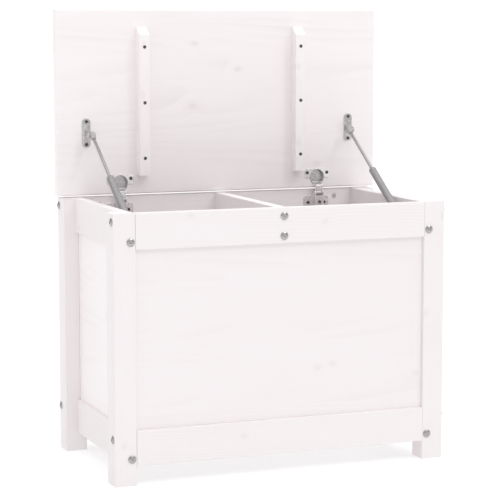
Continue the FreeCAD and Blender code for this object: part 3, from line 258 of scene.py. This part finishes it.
# %% Lay the paint over the rings
def painted_pine(name, along, wide, stave, shift, knots=(), paint=WHITE_PAINT, depth_of_grain=1.0):
    """White paint over pine: rings, fibres, knots, soft blotches, and a painted highlight along the eased edges.
    """
    finish, tree, shader, place = new_finish(name)
    plain = board_place(tree, place, along, wide)
    board = grain_place(tree, plain, stave, shift)
    sway = put(tree, "ShaderNodeTexNoise", {"Vector": stretched(tree, board, 1.5, 7.0), "Scale": 1.0,
                                            "Detail": 2.0}).outputs["Color"]
    sway = put(tree, "ShaderNodeVectorMath", {0: sway, 1: (0.5, 0.5, 0.5)}, operation="SUBTRACT").outputs[0]
    sway = put(tree, "ShaderNodeVectorMath", {0: sway, 1: (0.0, RING_SWAY, RING_SWAY)},
               operation="MULTIPLY").outputs[0]
    board = put(tree, "ShaderNodeVectorMath", {0: board, 1: sway}, operation="ADD").outputs[0]

    # A knot is where a branch grew: a darker eye, with the rings bulging a little round it.
    knot, bulge = 0.0, 0.0
    for run_at, side_at in knots:
        off = put(tree, "ShaderNodeVectorMath", {0: plain, 1: (run_at, side_at, 0.0)},
                  operation="SUBTRACT").outputs[0]
        off = put(tree, "ShaderNodeVectorMath", {0: off, 1: (KNOT_STRETCH, 1.0, 0.0)},
                  operation="MULTIPLY").outputs[0]
        away = put(tree, "ShaderNodeVectorMath", {0: off}, operation="LENGTH").outputs["Value"]
        ragged = maths(tree, "SUBTRACT", noise(tree, plain, 160.0), 0.5)
        away = maths(tree, "MULTIPLY_ADD", ragged, 3 * MM, away)
        knot = maths(tree, "ADD", span(tree, away, KNOT_EYE, 0.2 * KNOT_EYE), knot)
        bulge = maths(tree, "ADD", span(tree, away, KNOT_REACH, 0.0), bulge)

    parts = put(tree, "ShaderNodeSeparateXYZ", {0: board}).outputs
    from_pith = maths(tree, "SQRT", maths(tree, "ADD", maths(tree, "POWER", parts[1], 2.0),
                                          maths(tree, "POWER", parts[2], 2.0)))
    from_pith = maths(tree, "MULTIPLY_ADD", parts[0], RING_TAPER, from_pith)
    from_pith = maths(tree, "MULTIPLY_ADD", bulge, KNOT_BULGE, from_pith)
    year = maths(tree, "FRACT", maths(tree, "DIVIDE", from_pith, RING_PITCH))
    late = maths(tree, "MULTIPLY", span(tree, year, 0.25, 0.9), span(tree, year, 1.0, 0.93))
    strength = noise(tree, stretched(tree, board, 3.0, 24.0), 1.0, 2.0)
    late = maths(tree, "MULTIPLY", late, span(tree, strength, 0.35, 0.75))
    fibre = noise(tree, stretched(tree, board, 14.0, 900.0), 1.0, 2.0, 0.6)
    blotch = noise(tree, stretched(tree, board, 1.6, 5.0), 1.0, 2.0)

    shade = maths(tree, "MULTIPLY", late, RING_SHADE * depth_of_grain)
    shade = maths(tree, "MULTIPLY_ADD", span(tree, fibre, 0.45, 0.8), FIBRE_SHADE * depth_of_grain, shade)
    shade = maths(tree, "MULTIPLY_ADD", span(tree, blotch, 0.4, 0.75), BLOTCH_SHADE, shade)
    colour = blend_colour(tree, shade, paint, LATE_WOOD)
    darkness = maths(tree, "MULTIPLY", knot, KNOT_DARKNESS * depth_of_grain)
    colour = blend_colour(tree, darkness, colour, KNOT_SHADE)
    rounded = eased(tree, EASED_EDGE)
    # Painted highlight: the eased edges blend toward a light tint, broken up by the fibres.
    edge_wear_and_highlight = maths(tree, "MULTIPLY", edge_share(tree, rounded), span(tree, fibre, 0.35, 0.65, 0.2, 0.7))
    colour = blend_colour(tree, edge_wear_and_highlight, colour, EDGE_HIGHLIGHT_TINT)
    tree.links.new(colour, shader.inputs["Base Color"])

    gloss = maths(tree, "MULTIPLY_ADD", late, -0.10, span(tree, fibre, 0.2, 0.8, 0.46, 0.60))
    tree.links.new(gloss, shader.inputs["Roughness"])
    shader.inputs["Specular IOR Level"].default_value = 0.32
    coat = noise(tree, place, 620.0, 2.0)
    relief = maths(tree, "MULTIPLY_ADD", late, 0.55, maths(tree, "MULTIPLY", fibre, 0.7))
    relief = maths(tree, "MULTIPLY_ADD", coat, 0.16, relief)
    relief = maths(tree, "MULTIPLY_ADD", knot, -0.5, relief)
    bump = put(tree, "ShaderNodeBump", {"Strength": 0.28, "Distance": 0.35 * MM, "Height": relief,
                                        "Normal": rounded})
    tree.links.new(bump.outputs["Normal"], shader.inputs["Normal"])
    return finish


# %% Paint every board along its own grain
BOARD_GRAIN = {
    "post": ("z", "x", 0.30, 0.9), "front_panel": ("x", "z", 0.125, 1.0), "back_panel": ("x", "z", 0.125, 1.0),
    "left_panel": ("y", "z", 0.125, 1.0), "right_panel": ("y", "z", 0.125, 1.0),
    "floor_board": ("x", "y", 0.11, 1.0), "lid_board": ("x", "z", 0.125, 1.1), "batten": ("z", "x", 0.30, 0.8),
    "front_cleat": ("x", "z", 0.3, 0.8), "back_cleat": ("x", "z", 0.3, 0.8),
    "left_cleat": ("y", "z", 0.3, 0.8), "right_cleat": ("y", "z", 0.3, 0.8), "cross_rail": ("y", "z", 0.3, 0.9),
    "front_top_rail": ("x", "z", 0.3, 0.9), "front_bottom_rail": ("x", "z", 0.3, 0.9),
    "back_top_rail": ("x", "z", 0.3, 0.9), "back_bottom_rail": ("x", "z", 0.3, 0.9),
    "left_top_rail": ("y", "z", 0.3, 0.9), "left_bottom_rail": ("y", "z", 0.3, 0.9),
    "right_top_rail": ("y", "z", 0.3, 0.9), "right_bottom_rail": ("y", "z", 0.3, 0.9),
}
# Painted light: boards that are set back or in shade get a whiter paint, so that their shade is lifted and the
# whole bench reads as one white.
SHADE_LIFTED_BOARDS = ("lid_board", "batten", "back_panel", "left_panel", "right_panel", "back_top_rail", "cross_rail",
                "floor_board")
# Knots that stand out on the boards people see first, along the grain and across it, in metres.
KNOTS = {"lid_board": ((0.039, 0.768), (-0.061, 0.694)), "front_panel": ((0.074, 0.199),)}


def dress(node, finish):
    """Gives a kept node one finish."""
    mesh = frame["nodes"][node].data
    mesh.materials.clear()
    mesh.materials.append(finish)


chance = np.random.default_rng(7)
boards = []
for node in sorted(frame["nodes"]):
    kind = next((kind for kind in BOARD_GRAIN if node == kind or node.endswith("_" + kind)), None)
    if kind is None:
        continue
    along, wide, stave, depth_of_grain = BOARD_GRAIN[kind]
    shift = chance.uniform((0.0, 0.0, 0.020), (40.0, 0.3, 0.045)).tolist()
    low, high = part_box(node)
    corners = [(box[AXIS_NUMBER[along]], box[AXIS_NUMBER[wide]]) for box in (low, high)]
    knots = list(KNOTS.get(node, ()))
    for _ in range(chance.integers(0, 3)):
        knots.append(tuple(chance.uniform(*corners)))
    # Boards in shade take the whiter copy of the paint: painted light.
    paint = SHADE_LIFT_WHITE if kind in SHADE_LIFTED_BOARDS else WHITE_PAINT
    dress(node, painted_pine("pine_" + node, along, wide, stave, shift, knots, paint, depth_of_grain))
    boards.append(node)
print(len(boards), "boards painted")

# %% [markdown]
# ## Metal finishes
# Plated steel is never one even grey.  The plating clouds a little, fine scratches spread its shine,
# and handling brightens its edges.  A plain metal would show as a flat patch at this size.  The same
# recipe, with its own colour and shine, makes the bolts, the hinges, the screws and the strut brackets.


# %% Mix the plated steels
# The painted shade deep in a hinge cup, and the depths over which it comes in.
CUP_SHADE_STEEL, CUP_SHADE_BEGINS, CUP_SHADE_ENDS = (0.56, 0.545, 0.55), 2 * MM, 10 * MM
HANDLED_EDGE, BRIGHTER = 0.4 * MM, 1.35


def plated_steel(name, colour, shine, cloud=0.16, scratch=0.10, metallic=1.0, shade_from=None):
    """Plated steel: clouded colour, scratched shine, brighter edges.  Shine is its middle roughness.
    Behind a given distance along Y in metres its colour darkens, a painted shade for the inside of a hinge cup."""
    finish, tree, shader, place = new_finish(name)
    clouds = noise(tree, place, 240.0, 3.0)
    scratches = noise(tree, stretched(tree, place, 260.0, 2600.0), 1.0, 2.0, 0.7)
    darker = tuple(channel * (1 - 2 * cloud) for channel in colour)
    brighter = tuple(min(1.0, channel * BRIGHTER) for channel in colour)
    body = blend_colour(tree, span(tree, clouds, 0.3, 0.7), darker, colour)
    rounded = eased(tree, HANDLED_EDGE)
    edge_wear_and_highlight = maths(tree, "MULTIPLY", edge_share(tree, rounded), span(tree, clouds, 0.3, 0.6, 0.4, 0.9))
    body = blend_colour(tree, edge_wear_and_highlight, body, brighter)
    # Painted shade: deeper into the cup the colour darkens.
    if shade_from is not None:
        back = put(tree, "ShaderNodeSeparateXYZ", {0: place}).outputs[1]
        depth = span(tree, back, shade_from + CUP_SHADE_BEGINS, shade_from + CUP_SHADE_ENDS)
        body = blend_colour(tree, depth, body, CUP_SHADE_STEEL)
    tree.links.new(body, shader.inputs["Base Color"])
    shader.inputs["Metallic"].default_value = metallic
    gloss = span(tree, scratches, 0.3, 0.7, shine - scratch, shine + scratch)
    tree.links.new(gloss, shader.inputs["Roughness"])
    bump = put(tree, "ShaderNodeBump", {"Strength": 0.12, "Distance": 0.05 * MM, "Height": scratches,
                                        "Normal": rounded})
    tree.links.new(bump.outputs["Normal"], shader.inputs["Normal"])
    return finish


bolt_steel = plated_steel("bolt_steel", (0.50, 0.48, 0.485), 0.30, cloud=0.08)
hinge_steel = plated_steel("hinge_steel", (0.88, 0.855, 0.86), 0.24, cloud=0.05, metallic=0.7)
# The cup's steel darkens behind the lid board's face: painted shade.
cup_steel = plated_steel("cup_steel", (0.88, 0.855, 0.86), 0.24, cloud=0.05, metallic=0.7,
                         shade_from=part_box("lid_board")[0].y)
screw_steel = plated_steel("screw_steel", (0.22, 0.215, 0.215), 0.34, cloud=0.1)
nut_steel = plated_steel("nut_steel", (0.78, 0.76, 0.76), 0.30, cloud=0.08)
bracket_zinc = plated_steel("bracket_zinc", (0.64, 0.62, 0.625), 0.34, cloud=0.12, metallic=0.8)
rod_chrome = plated_steel("rod_chrome", (0.40, 0.39, 0.39), 0.14, cloud=0.06, scratch=0.05)
strut_grey = plated_steel("strut_grey", (0.33, 0.32, 0.325), 0.40, cloud=0.06, scratch=0.06, metallic=0.5)
socket_grey = plated_steel("socket_grey", (0.46, 0.45, 0.455), 0.45, cloud=0.06, scratch=0.06, metallic=0.2)
# Black for the shade inside tool recesses: painted shade.
recess_painted_shade = plated_steel("recess_painted_shade", (0.03, 0.03, 0.03), 0.5, metallic=0.0)
strut_inner = plated_steel("strut_inner", (0.02, 0.02, 0.02), 0.5, metallic=0.0)
dowel_beech = painted_pine("dowel_beech", "x", "z", 0.3, (3.0, 0.1, 0.03), paint=(0.62, 0.45, 0.27))
FINISH_BY_ENDING = {"hinge_cup": cup_steel, "screws": screw_steel, "bolts": bolt_steel, "bracket": bracket_zinc,
                    "rod": rod_chrome, "tube": strut_grey, "cross_nuts": nut_steel, "dowels": dowel_beech}
for node in frame["nodes"]:
    if node not in boards:
        finish = next((FINISH_BY_ENDING[ending] for ending in FINISH_BY_ENDING if node.endswith(ending)), None)
        dress(node, finish or (hinge_steel if "hinge" in node else strut_inner))
print("metal finishes", [finish.name for finish in bpy.data.materials if "pine" not in finish.name])

# %% [markdown]
# ## Turned parts
# Bolts, screws and the strut's tube and rod are all turned on a lathe, so one function makes them:
# rings of points along an axis, joined by a skin.  A ring is round, or takes the outline of the tool
# that fits it, a hexagon in the bolts and a cross in the screws.  Cutting the recess with a boolean
# would leave long thin faces, where rings that change their outline stay evenly spaced.

# %% Turn a profile
STEPS, CROSS_STEPS, POLE = 48, 64, 0.02


def round_outline(angle):
    """The reach of a circle is the same at every angle."""
    return np.ones_like(angle)


def hexagon_outline(angle):
    """A hexagon's reach is cos 30 over the cosine of the angle from the middle of its nearest side."""
    sixth = np.pi / 3
    return math.cos(sixth / 2) / np.cos((angle % sixth) - sixth / 2)


def cross_outline(angle, half_width=0.36):
    """A cross reaches its arm's end near an axis, and its arm's side, half_width / sine, between."""
    quarter = np.pi / 2
    off = np.abs((angle + quarter / 2) % quarter - quarter / 2)
    return np.minimum(1 / np.cos(off), half_width / np.maximum(np.sin(off), 1e-6))


def skin(rows, steps):
    """Quads between neighbouring closed rows of points, and a flat face on the first and last row."""
    row, column = np.meshgrid(np.arange(rows - 1), np.arange(steps), indexing="ij")
    after = (column + 1) % steps
    quads = np.stack((row * steps + column, row * steps + after,
                      (row + 1) * steps + after, (row + 1) * steps + column), -1).reshape(-1, 4)
    first, last = np.arange(steps)[::-1], np.arange(steps) + (rows - 1) * steps
    return [tuple(quad) for quad in quads.tolist()] + [tuple(first.tolist()), tuple(last.tolist())]


# %% Turn rings round an axis and carry them to their place
def turned(rings, steps=STEPS, recess=0):
    """Rings of (radius, height, outline) in mm round Z: radius x outline(angle) x (cos, sin) at each height.
    A pole is closed by a ring too small to see.  The skin of the last few rings, as many as recess says,
    is a tool's recess and takes the black of painted shade."""
    angle = np.arange(steps) * 2 * np.pi / steps
    rows = []
    for radius, height, *outline in rings:
        reach = radius * (outline[0] if outline else round_outline)(angle)
        rows.append(np.column_stack((reach * np.cos(angle), reach * np.sin(angle), np.full(steps, height))))
    faces = skin(len(rows), steps)
    dark = np.zeros(len(faces), int)
    dark[(len(rows) - 1 - recess) * steps:-2] = 1 if recess else 0
    dark[-1] = 1 if recess else 0
    return np.concatenate(rows) * MM, faces, dark


def stand(part, place, up, side):
    """Carries a part drawn round Z to a place: its Z runs along up and its X along side."""
    points, faces, dark = part
    up, side = np.array(up, float), np.array(side, float)
    up, side = up / np.linalg.norm(up), side / np.linalg.norm(side)
    return np.array(place) + points @ np.array((side, np.cross(up, side), up)), faces, dark


def joined(parts):
    """Several parts as one list of points and faces."""
    points, faces, dark = zip(*parts)
    starts = np.cumsum([0] + [len(each) for each in points]).tolist()
    faces = [tuple(corner + start for corner in face) for each, start in zip(faces, starts) for face in each]
    return np.concatenate(points), faces, np.concatenate(dark)


# %% Put a piece in the scene
SMOOTH_BELOW = math.radians(32)


def fit_piece(name, part, finish, slot, body, *nodes):
    """Makes the mesh of a new piece, smooth but for its sharp edges, hides the imported parts it stands for, and
    hangs it on its body.
    """
    mesh = bpy.data.meshes.new(name)
    mesh.from_pydata(part[0].tolist(), [], part[1])
    mesh.shade_smooth()
    mesh.set_sharp_from_angle(angle=SMOOTH_BELOW)
    mesh.materials.append(finish)
    # The recess faces take the black of painted shade.
    if part[2].any():
        mesh.materials.append(recess_painted_shade)
        mesh.polygons.foreach_set("material_index", part[2].astype(np.int32))
    piece = bpy.data.objects.new(name, mesh)
    bpy.context.scene.collection.objects.link(piece)
    if nodes:
        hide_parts(*nodes)
    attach(piece, body)
    print(name, len(mesh.polygons), "faces")
    return piece


# %% [markdown]
# ## Frame bolts
# Long furniture bolts pull the frame together.  Each has a wide, low domed head that is drawn up
# against the wood, with a hexagon socket for the key.  A short cylinder would catch the light as one
# flat disc, so the dome is part of a parabola: its height falls with the square of the distance from
# the middle.  The lip of the socket is eased, because that thin bright ring is what the eye picks out.
# Each row sits where its plain bolts are in the model.

# %% Turn the frame bolts
HEAD_RADIUS, HEAD_RIM, HEAD_DOME = 8.0, 0.9, 2.5
SOCKET_LIP, SOCKET_REACH, SOCKET_FLOOR, SHANK_RADIUS = 3.0, 2.75, 1.0, 3.0
LONG_BOLT, CROSS_BOLT = 88.0, 64.0


def dome_height(radius):
    """Rim height, plus the dome's height times 1 - (radius / head radius) squared."""
    return HEAD_RIM + HEAD_DOME * (1 - (radius / HEAD_RADIUS) ** 2)


def frame_bolt(length):
    """A bolt of the given shank length in mm, its seat at Z = 0."""
    rings = [(POLE, -length), (2.3, -length), (SHANK_RADIUS, 0.8 - length), (SHANK_RADIUS, 0.0),
             (HEAD_RADIUS - 0.4, 0.0), (HEAD_RADIUS - 0.05, 0.25), (HEAD_RADIUS, HEAD_RIM - 0.2)]
    rings += [(radius, dome_height(radius)) for radius in (7.9, 7.3, 6.4, 5.4, 4.4, 3.6)]
    rings += [(3.15, dome_height(3.15) - 0.03), (2.95, dome_height(SOCKET_LIP) - 0.22),
              (SOCKET_REACH, dome_height(SOCKET_LIP) - 0.45, hexagon_outline),
              (SOCKET_REACH, SOCKET_FLOOR, hexagon_outline), (POLE, SOCKET_FLOOR - 0.6)]
    return turned(rings)


def between(low, high, inset):
    """The two levels that lie an inset inside the ends of a node's box."""
    return low + inset * MM, high - inset * MM


def bolt_row(name, node, length, places):
    """All the bolts of one node.  A place is (its seat, the way its head faces, how far it is turned)."""
    bolts = []
    for seat, facing, turned_by in places:
        level = np.array((0, 1, 0) if facing[0] else (1, 0, 0))
        corner = level * math.cos(turned_by) + np.array((0, 0, 1)) * math.sin(turned_by)
        bolts.append(stand(frame_bolt(length), seat, facing, corner))
    fit_piece(name, joined(bolts), bolt_steel, "bolt_steel", "box", node)


outer_y, outer_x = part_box("back_left_post")[1].y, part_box("front_right_post")[1].x
for face, turn in (("front", -1), ("back", 1)):
    low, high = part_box(face + "_frame_bolts")
    bolt_row(face + "_bolts", face + "_frame_bolts", LONG_BOLT,
             [((x, turn * outer_y, z), (0, turn, 0), x * 90 + z * 40)
              for x in between(low.x, high.x, HEAD_RADIUS) for z in between(low.z, high.z, HEAD_RADIUS)])

low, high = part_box("side_frame_bolts")
bolt_row("side_bolts", "side_frame_bolts", LONG_BOLT,
         [((turn * outer_x, y, z), (turn, 0, 0), y * 70 + z * 50) for turn in (-1, 1)
          for y in between(low.y, high.y, HEAD_RADIUS) for z in between(low.z, high.z, HEAD_RADIUS)])

low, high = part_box("cross_rail_bolts")
bolt_row("cross_rail_bolt_set", "cross_rail_bolts", CROSS_BOLT,
         [((0, turn * outer_y, z), (0, turn, 0), z * 60) for turn in (-1, 1)
          for z in between(low.z, high.z, HEAD_RADIUS)])

# %% [markdown]
# ## Screws
# The battens are held by countersunk screws, and the hinges and strut plates by pan heads that stand
# a little proud.  Both have a cross recess with sloping arms, which narrows to a point below.  They are
# turned like the bolts.  Their recess is painted black as the shade inside it, because at this size it
# shows as a dot, and each screw is turned by its own amount, as nobody lines them up.

# %% Turn the screws
SCREW_RADIUS, SCREW_HEAD, SCREW_RISE, SCREW_TIP, PAN_TOP = 1.75, 3.6, 1.9, 3.0, 1.85
BATTEN_SCREW, SHORT_SCREW = 36, 14


def screw(length, pan=True):
    """A screw with its seat, or its flush face if countersunk, at Z = 0."""
    rings = [(POLE, -length), (0.5, 0.6 - length), (SCREW_RADIUS, SCREW_TIP - length)]
    if pan:
        rings += [(SCREW_RADIUS, 0.0), (SCREW_HEAD - 0.2, 0.0), (SCREW_HEAD, 0.3), (SCREW_HEAD - 0.05, 0.8),
                  (3.3, 1.25), (2.9, 1.6), (2.5, 1.8)]
        top = PAN_TOP
    else:
        rings += [(SCREW_RADIUS, -SCREW_RISE), (SCREW_HEAD - 0.1, -0.15), (SCREW_HEAD - 0.05, -0.02), (3.2, 0.0)]
        top = 0.0
    rings += [(2.3, top, cross_outline), (2.15, top - 0.25, cross_outline), (1.3, top - 1.3, cross_outline),
              (POLE, top - 1.7)]
    return turned(rings, CROSS_STEPS, recess=3)


def screw_row(name, node, body, places, toward, length, pan=True):
    """All the screws of one node, each turned by its own amount, from a seed that the length of its name sets."""
    spin = np.random.default_rng(len(name)).uniform(0, np.pi, len(places))
    toward = np.array(toward, float)
    first = np.cross(toward, (0, 0, 1))
    second = np.cross(toward, first)
    parts = [stand(screw(length, pan), place, toward, first * math.cos(turn) + second * math.sin(turn))
             for place, turn in zip(places, spin)]
    fit_piece(name, joined(parts), screw_steel, "screw_steel", body, node)


low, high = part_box("batten_screws")
rows = (*between(low.z, high.z, SCREW_HEAD), (low.z + high.z) / 2)
screw_row("batten_screw_set", "batten_screws", "lid",
          [(x, low.y, z) for x in between(low.x, high.x, SCREW_HEAD) for z in rows], (0, -1, 0),
          BATTEN_SCREW, pan=False)

hinge_x = [sum(corner.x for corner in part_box(side + "_hinge_cup")) / 2 for side in ("left", "right")]
for name, node, body in (("cup_screw_set", "hinge_cup_screws", "lid"),
                         ("plate_screw_set", "hinge_plate_screws", "box")):
    low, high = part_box(node)
    reach = high.x - SCREW_HEAD * MM - max(hinge_x)
    places = [(x + turn * reach, low.y + PAN_TOP * MM, (low.z + high.z) / 2) for x in hinge_x for turn in (-1, 1)]
    screw_row(name, node, body, places, (0, -1, 0), SHORT_SCREW)

low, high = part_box("lid_bracket_screws")
places = [(x, low.y + PAN_TOP * MM, z) for x in between(low.x, high.x, SCREW_HEAD)
          for z in between(low.z, high.z, SCREW_HEAD)]
screw_row("lid_bracket_screw_set", "lid_bracket_screws", "lid", places, (0, -1, 0), SHORT_SCREW)

# These face inwards from both sides, so each is stood up by itself.
low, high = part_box("side_bracket_screws")
seat, level = high.x - SHORT_SCREW * MM, (low.z + high.z) / 2
parts = [stand(screw(SHORT_SCREW), (turn * seat, y, level), (-turn, 0, 0), (0, math.cos(y * 50), math.sin(y * 50)))
         for turn in (-1, 1) for y in between(low.y, high.y, SCREW_HEAD)]
fit_piece("side_bracket_screw_set", joined(parts), screw_steel, "screw_steel", "box", "side_bracket_screws")

# %% [markdown]
# ## Gas struts
# Each strut is a painted steel tube with a chromed rod that slides out of it.  The tube is rolled in
# near its mouth to hold the seal, then turned over into a lip, and both show as rings.  A grey socket
# on the rod's end snaps over a ball on the lid's bracket.  Two plain cylinders would do from afar, but
# the rings are what makes it look like a gas strut.  All of it is turned along the strut's own axis,
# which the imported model's joints give, with heights in millimetres from the lower pivot.  The rod's
# foot and the socket leave room for the tube when the lid is shut and the strut is at its shortest.

# %% Turn the tubes and rods
ROD_FOOT, ROD_RADIUS, PLAIN_EYE = 140.0, 3.0, 4.5
SOCKET_FLATNESS = 0.92
joints = {joint["name"]: joint for joint in frame["joints"]}


def strut_line(side):
    """A strut's lower pivot, its direction, and how far along it the upper pivot lies in mm."""
    pivot = np.array(joints[side + "_tube_swing"]["pos_m"])
    run = np.array(joints[side + "_rod_slide"]["axis"])
    upper_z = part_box(side + "_strut_rod")[1].z - PLAIN_EYE * MM
    return pivot, run, (upper_z - pivot[2]) / run[2] / MM


for side in ("left", "right"):
    pivot, run, reach = strut_line(side)
    tube = turned([
        (POLE, 12.0), (6.0, 12.0), (6.9, 12.4), (7.4, 13.4), (7.5, 14.6), (7.5, 141.2), (7.42, 141.9),
        (7.05, 142.7), (6.95, 143.3), (7.05, 143.9), (7.42, 144.6), (7.5, 145.2), (7.5, 147.4),
        (7.3, 148.7), (6.7, 149.9), (5.7, 150.7), (4.9, 151.0), (3.6, 151.0), (3.35, 150.8), (3.3, 149.9),
        (6.5, 149.8), (6.5, 15.0), (POLE, 15.0)])
    neck = turned([(POLE, 2.0), (3.9, 2.0), (3.9, 6.5), (4.3, 8.0), (5.6, 10.5), (6.1, 12.1), (POLE, 12.1)])
    eye = turned([(POLE, -4.0), (5.2, -4.0), (5.8, -3.7), (6.0, -3.0), (6.0, 3.0), (5.8, 3.7), (5.2, 4.0),
                  (POLE, 4.0)])
    parts = [stand(tube, pivot, run, (1, 0, 0)), stand(neck, pivot, run, (1, 0, 0)),
             stand(eye, pivot, (1, 0, 0), run)]
    fit_piece(side + "_gas_tube", joined(parts), strut_grey, "strut_grey", side + "_tube", side + "_strut_tube")
    rod = turned([(POLE, ROD_FOOT), (ROD_RADIUS - 0.3, ROD_FOOT), (ROD_RADIUS, ROD_FOOT + 0.4),
                  (ROD_RADIUS, reach - 11.0), (ROD_RADIUS - 0.4, reach - 10.6), (POLE, reach - 10.6)])
    fit_piece(side + "_gas_rod", stand(rod, pivot, run, (1, 0, 0)), rod_chrome, "rod_chrome", side + "_rod",
              side + "_strut_rod")
    socket, faces, dark = turned([
        (POLE, reach - 12.9), (4.2, reach - 12.9), (4.7, reach - 12.4), (5.0, reach - 11.0),
        (6.0, reach - 8.0), (6.9, reach - 5.0), (7.4, reach - 1.5), (7.4, reach + 1.5), (6.8, reach + 4.0),
        (5.2, reach + 5.8), (2.8, reach + 6.6), (POLE, reach + 6.7)])
    socket = stand((socket * (SOCKET_FLATNESS, 1.0, 1.0), faces, dark), pivot, run, (1, 0, 0))
    fit_piece(side + "_end_socket", socket, socket_grey, "strut_grey", side + "_rod")

# %% [markdown]
# ## Strut brackets
# The brackets are stamped from steel strip with round ends.  A bevelled box has no round ends, so a
# plate here is one outline, carried up through its thickness, with its upper edge drawn in a little so
# that it catches the light.  The lid's bracket has a tab that carries the ball, and the side's has a
# stud that the tube's eye turns on.


# %% Stamp the brackets
def stamped(width, length, layers, arc_steps=12):
    """A plate with round ends along Y.  Each layer is (how far its outline is drawn in, its height):
    every point is the centre of its corner's arc plus (radius - drawn in) times its outward direction."""
    radius = width / 2 - 0.2
    angle = np.concatenate([np.linspace(turn, turn + np.pi / 2, arc_steps)
                            for turn in (0, np.pi / 2, np.pi, 3 * np.pi / 2)])
    outward = np.column_stack((np.cos(angle), np.sin(angle)))
    sign = np.array(((1, 1), (-1, 1), (-1, -1), (1, -1))).repeat(arc_steps, 0)
    centres = sign * (width / 2 - radius, length / 2 - radius)
    rows = [np.column_stack((centres + (radius - drawn_in) * outward, np.full(len(angle), height)))
            for drawn_in, height in layers]
    faces = skin(len(layers), len(angle))
    return np.concatenate(rows) * MM, faces, np.zeros(len(faces), int)


PLATE_WIDTH, PLATE_LENGTH, TAB_WIDTH, TAB_OFFSET = 17.5, 58, 12.0, 7.8
SHEET = ((0.25, 0.0), (0.0, 0.25), (0.0, 1.4), (0.2, 1.8), (0.6, 2.0))
BALL = [(POLE, -1.0), (2.2, -1.0), (2.9, 0.2), (3.1, 1.4), (2.9, 2.6), (2.0, 3.6), (1.9, 6.5), (3.6, 6.5),
        (3.6, 7.9), (POLE, 7.9)]
STUD = [(POLE, 1.5), (5.2, 1.5), (5.2, 2.4), (4.5, 2.8), (4.5, 11.7), (3.0, 11.9), (3.0, 20.3), (4.4, 20.5),
        (4.6, 21.0), (4.4, 21.8), (3.4, 22.1), (POLE, 22.1)]
for side, turn in (("left", -1), ("right", 1)):
    pivot, run, reach = strut_line(side)
    upper = pivot + run * reach * MM
    low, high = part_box(side + "_lid_bracket")
    middle = ((low.x + high.x) / 2, high.y, (low.z + high.z) / 2)
    plate = stand(stamped(PLATE_WIDTH, PLATE_LENGTH, SHEET), middle, (0, -1, 0), (turn, 0, 0))
    tab = stand(stamped(TAB_WIDTH, (high.y - low.y) / MM, SHEET),
                (upper[0] + turn * TAB_OFFSET * MM, (low.y + high.y) / 2, upper[2]), (turn, 0, 0), (0, 0, 1))
    ball = stand(turned(BALL), upper, (turn, 0, 0), (0, 0, 1))
    fit_piece(side + "_lid_plate", joined([plate, tab, ball]), bracket_zinc, "bracket_zinc", "lid",
              side + "_lid_bracket")
    inner_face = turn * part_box("right_top_rail")[0].x
    foot = (inner_face, pivot[1], pivot[2])
    plate = stand(stamped(PLATE_WIDTH, PLATE_LENGTH, SHEET), foot, (-turn, 0, 0), (0, 0, 1))
    stud = stand(turned(STUD), foot, (-turn, 0, 0), (0, 0, 1))
    fit_piece(side + "_rail_plate", joined([plate, stud]), bracket_zinc, "bracket_zinc", "box",
              side + "_side_bracket")

# %% [markdown]
# ## Floor
# The bench stands on a plain pale floor: one wide white sheet, lit a little from below as a light
# table is, so that the shadow under the bench stays soft and pale.  A curved backdrop would need its
# own shading from each side, and a flat sheet this wide looks the same from all of them.

# %% Lay the floor
FLOOR_REACH, FLOOR_GLOW = 300.0, 0.55
floor_mesh = bpy.data.meshes.new("floor")
corner = FLOOR_REACH * np.array(((-1, -1, 0), (1, -1, 0), (1, 1, 0), (-1, 1, 0)), float)
floor_mesh.from_pydata(corner.tolist(), [], [(0, 1, 2, 3)])
floor = bpy.data.objects.new("floor", floor_mesh)
bpy.context.scene.collection.objects.link(floor)
finish, tree, shader, place = new_finish("floor_paint")
tree.links.new(blend_colour(tree, noise(tree, place, 3.0), (0.46, 0.46, 0.46), (0.48, 0.48, 0.48)),
               shader.inputs["Base Color"])
shader.inputs["Roughness"].default_value = 0.7
shader.inputs["Specular IOR Level"].default_value = 0.1
shader.inputs["Emission Color"].default_value = (1.0, 1.0, 1.0, 1.0)
shader.inputs["Emission Strength"].default_value = FLOOR_GLOW
floor_mesh.materials.append(finish)
print("floor", 2 * FLOOR_REACH, "m across")
